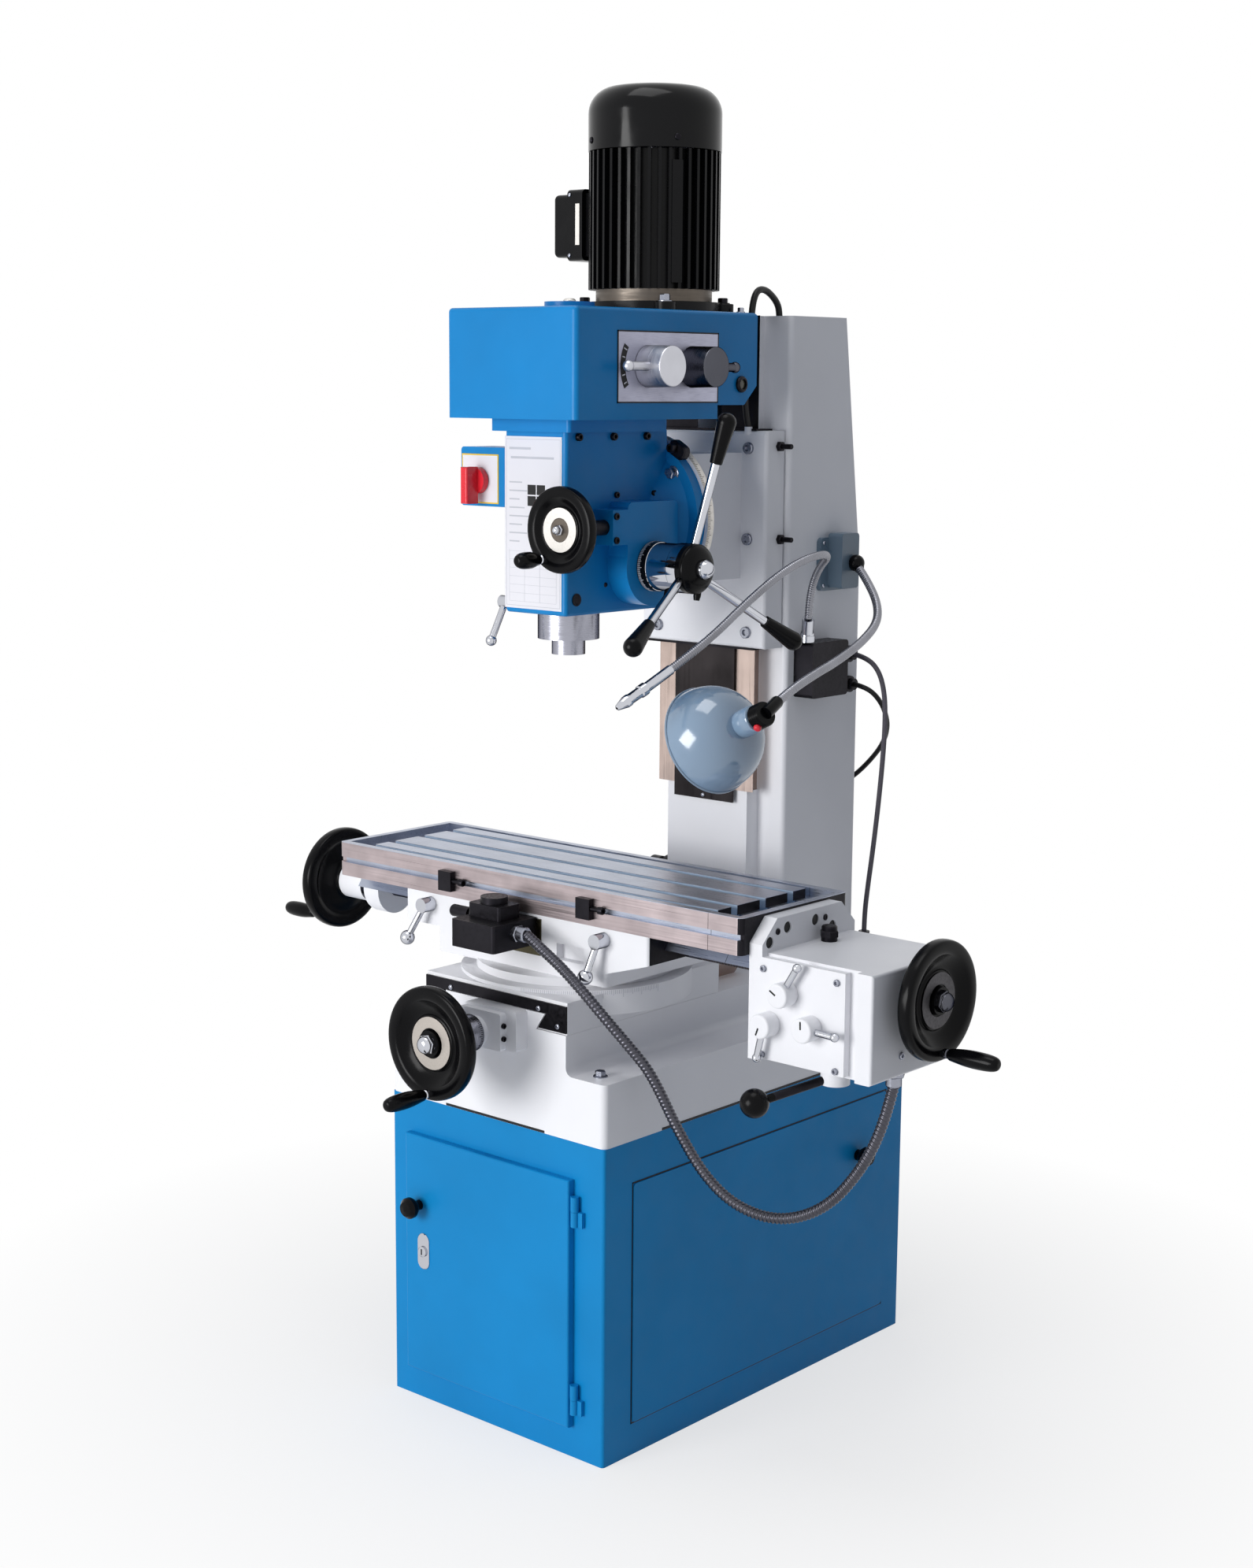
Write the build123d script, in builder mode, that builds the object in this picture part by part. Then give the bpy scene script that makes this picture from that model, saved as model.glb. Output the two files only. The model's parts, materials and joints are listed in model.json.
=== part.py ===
"""Mill drill: a drilling and milling machine on a cabinet stand, in millimetres, +Z up.

The origin is the middle of the cabinet's underside.  The door faces -Y, the feed
gearbox stands at the table's +X end and the column stands at the back, +Y.
"""
import os
from math import cos, pi, radians, sin, tan

from build123d import *

os.makedirs("parts", exist_ok=True)

# Fits, all measured on one side
shaft_play = 0.06
slide_gap = 0.3
turn_gap = 0.4
flank_play = 0.5

# Cabinet stand
cabinet_width = 430
cabinet_depth = 730
cabinet_height = 474
cabinet_sheet = 3
floor_hole_radius = 7
floor_hole_x = 180
floor_hole_y = 325
door_left = -176
door_right = 158
door_bottom = 48
door_top = 419
door_depth = 12
door_sheet = 2
door_lap = 10
hinge_radius = 6
hinge_pin_radius = 3
hinge_knuckle = 22
hinge_heights = (92, 374)
door_knob_x = -146
door_knob_z = 312
panel_front = -303
panel_back = 315
panel_bottom = 50
panel_top = 410
panel_sheet = 2
panel_knob_y = 239
panel_knob_z = 321
knob_radius = 16
latch_reach = 81

# Base casting and its cross ways
base_ledge_z = 567
base_block_z = 625
base_block_half = 141
base_wall = 14
way_top_half = 100
way_foot_half = 83
way_height = 25
way_back = 85
screw_radius = 12
screw_slot_half = 32
cross_screw_z = 614

# Cross slide
slide_front = -362
slide_back = -25
slide_top = 672
swivel_y = -188
swivel_ring_radius = 173
swivel_ring_bottom = 640
swivel_top = 677
pivot_radius = 40
wiper_sheet = 3

# Upper saddle
saddle_half = 245
saddle_front = -306
saddle_back = -70
saddle_right = 242
saddle_foot_left = -175
saddle_foot_right = 163
saddle_wing_z = 725
saddle_right_wing_z = 732
saddle_step_z = 708
saddle_disc_radius = 150

# Table
table_left = -392
table_right = 408
table_front = -308
table_back = -68
table_bottom = 774
table_top = 826
table_way_height = 25
table_way_half = 82
table_way_neck = 66
table_screw_z = 733
slot_pitch = 63
slot_width = 14
slot_neck = 14
tee_width = 24
tee_height = 10
rim_width = 12
side_groove = 10
trough_width = 46
trough_depth = 14
dog_positions = (-150, 128)

# Feed gearbox on the table's right end
feed_flange_right = 430
feed_front = -290
feed_back = -90
feed_right = 612
feed_bottom = 630
feed_top = 778
feed_flange_top = 822
feed_cover_right = 568
feed_cover_depth = 12
feed_wall = 8
feed_boss = (515, -235)
feed_boss_radius = 20
feed_boss_drop = 6
feed_knob_radius = 17
feed_knob_depth = 25
feed_knobs = {
    "feed_knob_top": (474, 732, 58), "feed_knob_left": (445, 685, -103), "feed_knob_right": (515, 692, -2),
}
flange_hole_radius = 8
flange_holes = ((-274, 791), (-235, 806), (-172, 806), (-133, 791))

# Handwheels
wheel_radius = 82
wheel_handle_radius = 72
right_wheel_x = 622
left_wheel_x = -497
cross_wheel_y = -468

# Column
column_half = 130
column_front = 142
column_back = 333
column_taper_z = 1215
column_top_back = 280
column_top = 1634
column_wall = 15
column_pad_half = 80
column_pad_front = 114
column_chamfer_x = -100
column_chamfer_y = 175
column_way_front = 109
column_way_half = 95
column_way_neck = 78
column_way_depth = 24
column_way_bottom = 909
lift_screw_y = 190
lift_screw_radius = 14
lift_shelf_z = 700
lift_crank_z = 745
lift_slot_half = 24

# Carriage
carriage_half = 122
carriage_front = 96
carriage_back = 139
carriage_bottom = 1134
carriage_top = 1463
arm_half = 74
arm_half_height = 95
swivel_disc_radius = 125
swivel_disc_front = -45
swivel_disc_back = -30
head_swivel_z = 1335
head_pivot_radius = 30
cover_half = 59
cover_bottom = 889

# Head
head_half = 60
head_front = -280
head_back = -63
head_bottom = 1205
head_top = 1464
head_flange_radius = 120
head_corner = 6
neck_half = 77
neck_front = -292
neck_back = -80
spindle_y = -209
quill_radius = 45
quill_bottom = 1166
quill_top = 1440
nose_bottom = 1143
nose_radius = 24.5
spindle_radius = 24
spline_radius = 16
hub_y = -135
hub_z = 1272
hub_shaft_radius = 12
pinion_module = 2.5
pinion_teeth = 16
pinion_half = 9
lever_plane_x = 164
lever_tip_x = 225
lever_reach = 219
lever_angles = (87, 207, 327)
housing_right = 97
housing_front = -190
housing_back = -80
housing_bottom = 1215
housing_top = 1365
worm_x = 80
worm_z = 1330
worm_radius = 12
worm_bracket_front = -222
worm_bracket_half = 25
fine_wheel_radius = 61
fine_wheel_y = -300

# Gearbox, gear train and motor
gearbox_half = 125
gearbox_front = -331
gearbox_back = 65
gearbox_bottom = 1482
gearbox_top = 1636
gearbox_wall = 12
gearbox_corner = 8
motor_y = -25
gear_module = 4
pinion_count = 14
wheel_count = 32
gear_width = 24
motor_flange_radius = 100
motor_neck_radius = 86
motor_core_radius = 86
motor_fin_radius = 97
motor_fins = 40
motor_body_bottom = 1668
motor_body_top = 1865
fan_cover_top = 1958
fan_cover_radius = 98
speed_knob_radius = 29.5
speed_knob_z = 1556
speed_knob_front_y = -181
speed_knob_rear_y = -85

# Cords and hoses
conduit_radius = 8
hose_radius = 6
gooseneck_radius = 6.5
cable_radius = 4
motor_cable_radius = 5
conduit_route = (
    (52, -351, 754), (93, -354, 735), (130, -358, 718), (168, -357, 691), (196, -346, 659),
    (216, -331, 630), (231, -317, 605), (243, -306, 584), (256, -295, 553), (274, -279, 500),
    (316, -268, 436), (366, -255, 398), (432, -239, 389), (497, -222, 420), (546, -209, 486),
    (574, -202, 552), (586, -200, 606),
)
gooseneck_route = (
    (180, 259, 1252), (206, 246, 1234), (244, 220, 1204), (278, 172, 1180), (310, 88, 1160),
    (342, -14, 1144), (362, -100, 1132), (380, -176, 1118), (388, -222, 1103),
)
hose_route = (
    (160, 157, 1180), (162, 156, 1204), (172, 150, 1234), (196, 135, 1262), (230, 110, 1280), (252, 68, 1288),
    (256, 10, 1281), (257, -52, 1260), (258, -122, 1226), (258, -193, 1186), (257, -269, 1152),
    (253, -330, 1125),
)
nozzle_tip = (246, -380, 1102)
grey_route = (
    (146, 299, 1113), (171, 299, 1109), (191, 303, 1090), (199, 308, 1056), (196, 316, 1010),
    (187, 325, 950), (177, 330, 874), (168, 331, 800), (159, 332, 738), (153, 333, 692), (152, 334, 661),
)
black_route = (
    (146, 301, 1065), (167, 302, 1062), (181, 313, 1048), (183, 333, 1024), (173, 357, 994),
    (151, 375, 962), (122, 383, 932), (92, 383, 904), (64, 376, 884), (42, 364, 872), (28, 351, 866),
)
motor_cable_route = (
    (99, 152, 1606), (99, 152, 1640), (100, 141, 1657), (103, 112, 1672), (105, 88, 1671), (106, 76, 1650),
    (105, 74, 1608), (98, 76, 1560), (88, 84, 1516), (84, 93, 1486), (84, 99, 1469),
)

front_face = -cabinet_depth / 2
side_face = cabinet_width / 2
low = (Align.CENTER, Align.CENTER, Align.MIN)
quill_bore = quill_radius + shaft_play
lever_hub_bore = hub_shaft_radius + shaft_play
screw_bore = screw_radius + shaft_play


def block(x0, x1, y0, y1, z0, z1, mode=Mode.ADD):
    """Join a box between two corners to the part that is being built, or cut it away."""
    with Locations(((x0 + x1) / 2, (y0 + y1) / 2, (z0 + z1) / 2)):
        Box(x1 - x0, y1 - y0, z1 - z0, mode=mode)


def rod(start, end, radius, mode=Mode.ADD, end_radius=None):
    """Join a round bar or cone between two points to the part that is being built."""
    along = Vector(*end) - Vector(*start)
    with Locations(Plane(origin=start, z_dir=along)):
        if end_radius is None:
            Cylinder(radius, along.length, align=low, mode=mode)
        else:
            Cone(radius, end_radius, along.length, align=low, mode=mode)


def ball(centre, radius):
    """Join a ball to the part that is being built."""
    with Locations(centre):
        Sphere(radius)


def turned(origin, axis, outline):
    """Return a turned piece; outline points are (radius, distance along the axis)."""
    along = Vector(*axis)
    side = Vector(0, 1, 0) if abs(along.Y) < 0.5 else Vector(1, 0, 0)
    radial = side - along * along.dot(side)
    with BuildPart() as piece:
        with BuildSketch(Plane(origin=origin, x_dir=radial, z_dir=radial.cross(along))):
            with BuildLine():
                Polyline(*outline, close=True)
            make_face()
        revolve(axis=Axis(origin, axis))
    return piece.part


def ball_rod(start, end, radius, ball_radius):
    """Return a round bar with a ball round its far end."""
    along = Vector(*end) - Vector(*start)
    steep = abs(along.Z) > 0.9 * along.length
    side = along.cross(Vector(1, 0, 0) if steep else Vector(0, 0, 1)).normalized()
    shoulder = along.length - (ball_radius**2 - radius**2) ** 0.5
    with BuildPart() as piece:
        with BuildSketch(Plane(origin=start, x_dir=side, z_dir=side.cross(along))):
            with BuildLine():
                Polyline((0, along.length + ball_radius), (0, 0), (radius, 0), (radius, shoulder))
                ThreePointArc(
                    (radius, shoulder), (ball_radius, along.length), (0, along.length + ball_radius),
                )
            make_face()
        revolve(axis=Axis(start, along))
    return piece.part


def tooth_outline(module, teeth):
    """Return one tooth, straight sided, from just inside the root circle to the tip."""
    pitch = pi * module
    radius = module * teeth / 2
    return (
        (radius - 1.3 * module, -0.30 * pitch), (radius - 1.05 * module, -0.29 * pitch),
        (radius, -0.21 * pitch), (radius + 0.75 * module, -0.09 * pitch),
        (radius + 0.75 * module, 0.09 * pitch), (radius, 0.21 * pitch),
        (radius - 1.05 * module, 0.29 * pitch), (radius - 1.3 * module, 0.30 * pitch),
    )


def toothed(plane, module, teeth, width, bore, phase=0):
    """Return a spur gear whose lower face lies on the plane; phase turns it, in degrees."""
    with BuildPart() as gear:
        with BuildSketch(plane):
            Circle(module * (teeth / 2 - 1.05))
            with PolarLocations(0, teeth, start_angle=phase):
                Polygon(*tooth_outline(module, teeth), align=None)
            if bore:
                Circle(bore, mode=Mode.SUBTRACT)
        extrude(amount=width)
    return gear.part


def bend_radii(route):
    """Return the radius of each bend of a route, as wide as the shorter run beside it lets."""
    radii = []
    for before, corner, after in zip(route, route[1:], route[2:]):
        incoming = Vector(*corner) - Vector(*before)
        outgoing = Vector(*after) - Vector(*corner)
        half_turn = radians(incoming.get_angle(outgoing)) / 2
        radii.append(0.45 * min(incoming.length, outgoing.length) / tan(half_turn))
    return radii


def route_line(label, route):
    """Return a route's centre line, straight runs and tangent bends, and print its bends."""
    radii = bend_radii(route)
    with BuildLine() as centre:
        FilletPolyline(*route, radius=radii)
    line = centre.wire()
    print(label, "length", round(line.length), "bends", [round(r) for r in radii])
    return line


def plain_tube(label, route, radius):
    """Return a round cord along a route."""
    line = route_line(label, route)
    with BuildPart() as cord:
        with BuildSketch(Plane(origin=line @ 0, z_dir=line % 0)):
            Circle(radius)
        sweep(path=line)
    print(label, "volume ratio", round(cord.part.volume / (pi * radius**2 * line.length), 3))
    return cord.part


def ribbed_tube(label, route, radius, rib_depth, rib_pitch, across, bore):
    """Return a ribbed hose along a route; across is the steady cross axis of its ribs."""
    line = route_line(label, route)
    plain = 2 * radius
    ribs = round((line.length - 2 * plain) / rib_pitch)
    stations = [(0, radius)]
    for rib in range(ribs):
        start = plain + rib * (line.length - 2 * plain) / ribs
        step = (line.length - 2 * plain) / ribs
        stations.append((start, radius - rib_depth))
        stations.append((start + 0.2 * step, radius))
        stations.append((start + 0.6 * step, radius))
        stations.append((start + 0.8 * step, radius - rib_depth))
    stations.append((line.length - plain, radius))
    stations.append((line.length, radius))
    rings = []
    for distance, ring_radius in stations:
        place = distance / line.length
        along = line % place
        steady = Vector(*across) - along * along.dot(Vector(*across))
        with BuildSketch(Plane(origin=line @ place, x_dir=steady, z_dir=along)) as ring:
            Circle(ring_radius)
        rings.append(ring.sketch.face())
    with BuildPart() as hose:
        loft(sections=rings, ruled=True)
        with BuildSketch(Plane(origin=line @ 0, z_dir=line % 0)):
            Circle(bore)
        sweep(path=line, mode=Mode.SUBTRACT)
    return hose.part


def handwheel(hub_back, axis, radius, handle_radius, handle_angle, handle_length):
    """Return a dished handwheel with its crank handle; the axis points at the operator."""
    outline = (
        (screw_radius, 0), (26, 0), (26, 9), (radius - 24, 16), (radius - 16, 12), (radius - 4, 12),
        (radius, 16), (radius, 28), (radius - 4, 32), (radius - 14, 32), (radius - 22, 25),
        (40, 18), (38, 23), (screw_radius, 23),
    )
    wheel = turned(hub_back, axis, outline)
    along = Vector(*axis)
    side = Vector(1, 0, 0) if abs(along.Y) > 0.5 else Vector(0, 1, 0)
    offset = side * cos(radians(handle_angle)) + Vector(0, 0, 1) * sin(radians(handle_angle))
    foot = Vector(*hub_back) + offset * handle_radius + along * 32
    grip = (
        (0, 0), (5, 0), (5, 6), (8, 8), (9, 14), (12, 0.45 * handle_length), (12, 0.75 * handle_length),
        (10, handle_length - 5), (6, handle_length), (0, handle_length),
    )
    with BuildPart() as piece:
        add(wheel)
        add(turned(foot, axis, grip))
    return piece.part


# Cabinet: a folded sheet box with a door opening in front and a hatch in its right side
hinge_x = door_right + hinge_radius + 1
hinge_y = front_face - hinge_radius - slide_gap
with BuildPart() as cabinet:
    Box(cabinet_width, cabinet_depth, cabinet_height, align=low)
    fillet(cabinet.edges().filter_by(Axis.Z), 5)
    block(
        cabinet_sheet - side_face, side_face - cabinet_sheet, front_face + cabinet_sheet,
        -front_face - cabinet_sheet, cabinet_sheet, cabinet_height - cabinet_sheet, mode=Mode.SUBTRACT,
    )
    block(
        door_left + door_lap, door_right - door_lap, front_face - 1, front_face + 2 * cabinet_sheet,
        door_bottom + door_lap, door_top - door_lap, mode=Mode.SUBTRACT,
    )
    block(
        side_face - 2 * cabinet_sheet, side_face + 1, panel_front + door_lap, panel_back - door_lap,
        panel_bottom + door_lap, panel_top - door_lap, mode=Mode.SUBTRACT,
    )
    with GridLocations(2 * floor_hole_x, 2 * floor_hole_y, 2, 2):
        Cylinder(floor_hole_radius, 3 * cabinet_sheet, mode=Mode.SUBTRACT)
    for height in hinge_heights:
        block(hinge_x, hinge_x + 14, hinge_y, front_face, height - hinge_knuckle, height)
        rod((hinge_x, hinge_y, height - hinge_knuckle), (hinge_x, hinge_y, height), hinge_radius)
        rod((hinge_x, hinge_y, height), (hinge_x, hinge_y, height + hinge_knuckle), hinge_pin_radius)
cabinet.part.label = "cabinet"
export_step(cabinet.part, "parts/cabinet.step")

# Front door: a shallow tray with its two hinge knuckles and a round pull knob
door_back_y = front_face - slide_gap
door_front_y = door_back_y - door_depth
door_knob = turned(
    (door_knob_x, door_front_y, door_knob_z), (0, -1, 0),
    ((0, 0), (8, 0), (7, 8), (12, 12), (knob_radius, 18), (knob_radius, 24), (11, 30), (0, 32)),
)
with BuildPart() as front_door:
    block(door_left, door_right, door_front_y, door_back_y, door_bottom, door_top)
    fillet(front_door.faces().sort_by(Axis.Y)[0].edges(), 3)
    block(
        door_left + door_sheet, door_right - door_sheet, door_front_y + door_sheet, door_back_y,
        door_bottom + door_sheet, door_top - door_sheet, mode=Mode.SUBTRACT,
    )
    for height in hinge_heights:
        foot = height + slide_gap
        block(door_right - 1, hinge_x, hinge_y - 2, hinge_y + 2, foot, foot + hinge_knuckle)
        rod((hinge_x, hinge_y, foot), (hinge_x, hinge_y, foot + hinge_knuckle), hinge_radius)
        rod(
            (hinge_x, hinge_y, foot - 1), (hinge_x, hinge_y, foot + hinge_knuckle + 1),
            hinge_pin_radius + shaft_play, mode=Mode.SUBTRACT,
        )
    add(door_knob)
front_door.part.label = "front_door"
export_step(front_door.part, "parts/front_door.step")

# Side panel: a flat hatch, and the knob whose tongue holds it behind the cabinet's sheet
with BuildPart() as side_panel:
    block(side_face, side_face + panel_sheet, panel_front, panel_back, panel_bottom, panel_top)
    fillet(side_panel.edges().filter_by(Axis.X), 6)
    rod(
        (side_face - 1, panel_knob_y, panel_knob_z),
        (side_face + panel_sheet + 1, panel_knob_y, panel_knob_z), 4 + shaft_play, mode=Mode.SUBTRACT,
    )
side_panel.part.label = "side_panel"
export_step(side_panel.part, "parts/side_panel.step")

tongue_x = side_face - cabinet_sheet - turn_gap
panel_knob = turned(
    (side_face + panel_sheet + turn_gap, panel_knob_y, panel_knob_z), (1, 0, 0),
    ((0, 0), (9, 0), (9, 4), (12, 8), (knob_radius, 14), (knob_radius, 20), (11, 26), (0, 27)),
)
with BuildPart() as side_panel_knob:
    add(panel_knob)
    rod((tongue_x, panel_knob_y, panel_knob_z), (side_face + 4, panel_knob_y, panel_knob_z), 4)
    block(
        tongue_x - 4, tongue_x, panel_knob_y - 9, panel_knob_y + latch_reach,
        panel_knob_z - 9, panel_knob_z + 9,
    )
side_panel_knob.part.label = "side_panel_knob"
export_step(side_panel_knob.part, "parts/side_panel_knob.step")

# Base casting: hollow skirt, raised block and the dovetail ways for the cross slide
way_top = base_block_z + way_height
with BuildPart() as base_casting:
    block(-side_face, side_face, front_face, -front_face, cabinet_height, base_ledge_z)
    fillet(base_casting.edges().filter_by(Axis.Z), 10)
    block(-base_block_half, base_block_half, front_face, -front_face, base_ledge_z - 20, base_block_z)
    ledge_edges = base_casting.edges().filter_by(Axis.Y)
    ledge_edges = ledge_edges.filter_by_position(Axis.Z, base_ledge_z - 1, base_ledge_z + 1)
    fillet(ledge_edges.filter_by_position(Axis.X, -base_block_half - 1, base_block_half + 1), 12)
    with BuildSketch(Plane.XZ.offset(cabinet_depth / 2)):
        Polygon(
            (-way_foot_half, base_block_z), (way_foot_half, base_block_z), (way_top_half, way_top),
            (-way_top_half, way_top), align=None,
        )
    extrude(amount=-(cabinet_depth / 2 + way_back))
    block(
        base_wall - side_face, side_face - base_wall, front_face + base_wall, -front_face - base_wall,
        cabinet_height, base_ledge_z - base_wall, mode=Mode.SUBTRACT,
    )
    for flank in (-1, 1):
        inner = flank * (screw_slot_half + base_wall)
        outer = flank * (base_block_half - base_wall)
        block(
            min(inner, outer), max(inner, outer), front_face + base_wall, -front_face - base_wall,
            base_ledge_z - base_wall - 1, base_block_z - base_wall, mode=Mode.SUBTRACT,
        )
    block(
        -screw_slot_half, screw_slot_half, front_face + base_wall, way_back - 5, base_ledge_z - base_wall - 1,
        way_top + 1, mode=Mode.SUBTRACT,
    )
    rod((0, way_back - 10, cross_screw_z), (0, way_back + 16, cross_screw_z), screw_bore, mode=Mode.SUBTRACT)
    rod(
        (0, front_face - 1, cross_screw_z), (0, front_face + base_wall + 1, cross_screw_z),
        screw_radius + turn_gap, mode=Mode.SUBTRACT,
    )
base_casting.part.label = "base_casting"
export_step(base_casting.part, "parts/base_casting.step")

# Bracket that carries the cross screw on the front of the base
bracket_front = front_face - 35
with BuildPart() as y_screw_bracket:
    block(-35, 66, bracket_front + 12, front_face, 591, way_top)
    block(-35, 46, bracket_front, bracket_front + 12, 591, way_top - 4)
    fillet(y_screw_bracket.edges().filter_by(Axis.Y), 4)
    rod((0, bracket_front - 12, cross_screw_z), (0, bracket_front, cross_screw_z), 22)
    rod(
        (0, bracket_front - 20, cross_screw_z), (0, front_face + 1, cross_screw_z), screw_bore,
        mode=Mode.SUBTRACT,
    )
y_screw_bracket.part.label = "y_screw_bracket"
export_step(y_screw_bracket.part, "parts/y_screw_bracket.step")

# Cross screw and its handwheel
with BuildPart() as y_leadscrew:
    rod((0, way_back + 14, cross_screw_z), (0, cross_wheel_y - 30, cross_screw_z), screw_radius)
    rod((0, bracket_front - 12 - turn_gap, cross_screw_z), (0, cross_wheel_y, cross_screw_z), 27)
    rod((0, cross_wheel_y - 23, cross_screw_z), (0, cross_wheel_y - 29, cross_screw_z), 19)
    ball((0, cross_wheel_y - 29, cross_screw_z), 13)
y_leadscrew.part.label = "y_leadscrew"
export_step(y_leadscrew.part, "parts/y_leadscrew.step")

y_handwheel_part = handwheel(
    (0, cross_wheel_y, cross_screw_z), (0, -1, 0), wheel_radius, wheel_handle_radius, -90, 80,
)
with BuildPart() as y_handwheel:
    add(y_handwheel_part)
y_handwheel.part.label = "y_handwheel"
export_step(y_handwheel.part, "parts/y_handwheel.step")

# Cross slide: female dovetail below, round swivel seat on top, nut lug round the screw
slide_bottom = base_block_z + slide_gap
groove_top = way_top + slide_gap
with BuildPart() as cross_slide:
    block(-base_block_half, base_block_half, slide_front, slide_back, slide_bottom, slide_top)
    with Locations((0, swivel_y, swivel_ring_bottom)):
        Cylinder(swivel_ring_radius, swivel_top - swivel_ring_bottom, align=low)
    with BuildSketch(Plane.XZ.offset(-slide_back + 200)):
        Polygon(
            (-way_foot_half - flank_play, base_block_z), (way_foot_half + flank_play, base_block_z),
            (way_top_half + flank_play, groove_top), (-way_top_half - flank_play, groove_top), align=None,
        )
    extrude(amount=-700, both=True, mode=Mode.SUBTRACT)
    block(-26, 26, swivel_y - 28, swivel_y + 28, cross_screw_z - 20, groove_top + 1)
    rod((0, swivel_y - 40, cross_screw_z), (0, swivel_y + 40, cross_screw_z), screw_bore, mode=Mode.SUBTRACT)
    rod(
        (0, swivel_y, swivel_top - 20), (0, swivel_y, swivel_top + 1), pivot_radius + shaft_play,
        mode=Mode.SUBTRACT,
    )
cross_slide.part.label = "cross_slide"
export_step(cross_slide.part, "parts/cross_slide.step")

# Wiper plate on the front of the cross slide, with a tab down each side of the ways
tab_foot = base_block_z + 3
with BuildPart() as cross_slide_wiper:
    with BuildSketch(Plane.XZ.offset(-slide_front)):
        Polygon(
            (-base_block_half, tab_foot), (-way_foot_half - 4, tab_foot), (-way_top_half - 3, way_top + 1),
            (way_top_half + 3, way_top + 1), (way_foot_half + 4, tab_foot), (base_block_half, tab_foot),
            (base_block_half, way_top + 17), (-base_block_half, way_top + 17), align=None,
        )
    extrude(amount=wiper_sheet)
cross_slide_wiper.part.label = "cross_slide_wiper"
export_step(cross_slide_wiper.part, "parts/cross_slide_wiper.step")

# Upper saddle: swivels on the cross slide and carries the table in a dovetail groove
saddle_top = table_bottom - slide_gap
saddle_bottom = swivel_top + slide_gap
groove_floor = table_bottom - table_way_height - slide_gap
lock_x = {"table_lock_left": -190, "table_lock_right": 160}
lock_z = 757
with BuildPart() as upper_saddle:
    with BuildSketch(Plane.XZ.offset(-saddle_back)):
        Polygon(
            (-saddle_half, saddle_top), (-saddle_half, saddle_wing_z), (saddle_foot_left, saddle_wing_z),
            (saddle_foot_left, saddle_bottom + 10), (saddle_foot_right, saddle_bottom + 10),
            (saddle_foot_right, saddle_step_z), (saddle_right, saddle_right_wing_z),
            (saddle_right, saddle_top), align=None,
        )
    extrude(amount=saddle_back - saddle_front)
    fillet(upper_saddle.edges().filter_by(Axis.Z), 6)
    with Locations((0, swivel_y, saddle_bottom)):
        Cylinder(saddle_disc_radius, 12, align=low)
    rod((0, swivel_y, saddle_bottom - 18), (0, swivel_y, saddle_bottom + 2), pivot_radius)
    with BuildSketch(Plane.YZ):
        Polygon(
            (swivel_y - table_way_half - flank_play, groove_floor),
            (swivel_y + table_way_half + flank_play, groove_floor),
            (swivel_y + table_way_neck + flank_play, table_bottom),
            (swivel_y - table_way_neck - flank_play, table_bottom), align=None,
        )
    extrude(amount=saddle_half + 1, both=True, mode=Mode.SUBTRACT)
    for end in (-1, 1):
        block(
            min(35 * end, 260 * end), max(35 * end, 260 * end), swivel_y - 20, swivel_y + 20,
            table_screw_z - 20, groove_floor + 1, mode=Mode.SUBTRACT,
        )
    rod((-40, swivel_y, table_screw_z), (40, swivel_y, table_screw_z), screw_bore, mode=Mode.SUBTRACT)
    block(68, 121, saddle_front - 1, saddle_front + 14, 714, 738, mode=Mode.SUBTRACT)
    for stud_x in lock_x.values():
        rod(
            (stud_x, saddle_front - 1, lock_z), (stud_x, saddle_front + 22, lock_z), 6 + shaft_play,
            mode=Mode.SUBTRACT,
        )
upper_saddle.part.label = "upper_saddle"
export_step(upper_saddle.part, "parts/upper_saddle.step")

# Table lock levers on the front of the saddle
lock_balls = {"table_lock_left": (-213, -334, 706), "table_lock_right": (149, -334, 706)}
for lock_name, stud_x in lock_x.items():
    hub_front = saddle_front - turn_gap
    with BuildPart() as table_lock:
        rod((stud_x, saddle_front + 20, lock_z), (stud_x, hub_front, lock_z), 6)
        rod((stud_x, hub_front, lock_z), (stud_x, hub_front - 22, lock_z), 11)
        add(ball_rod((stud_x, hub_front - 14, lock_z), lock_balls[lock_name], 5, 11))
    table_lock.part.label = lock_name
    export_step(table_lock.part, f"parts/{lock_name}.step")

# Trip switch on the front of the saddle, and its sprung plunger
turret_back = table_front - 14
with BuildPart() as limit_switch:
    block(-56, 30, -397, saddle_front, 730, 770)
    block(-52, 12, -366, turret_back, 769, 790)
    fillet(limit_switch.edges().filter_by(Axis.Z), 5)
    rod((-20, (turret_back - 366) / 2, 788), (-20, (turret_back - 366) / 2, 800), 20)
    rod((-57, -345, 767), (-30, -345, 767), 5 + shaft_play, mode=Mode.SUBTRACT)
limit_switch.part.label = "limit_switch"
export_step(limit_switch.part, "parts/limit_switch.step")

with BuildPart() as limit_plunger:
    rod((-36, -345, 767), (-90, -345, 767), 5)
    rod((-68, -345, 767), (-104, -345, 767), 9)
    fillet(limit_plunger.edges().filter_by(GeomType.CIRCLE).sort_by(Axis.X)[0], 3)
limit_plunger.part.label = "limit_plunger"
export_step(limit_plunger.part, "parts/limit_plunger.step")

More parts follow.
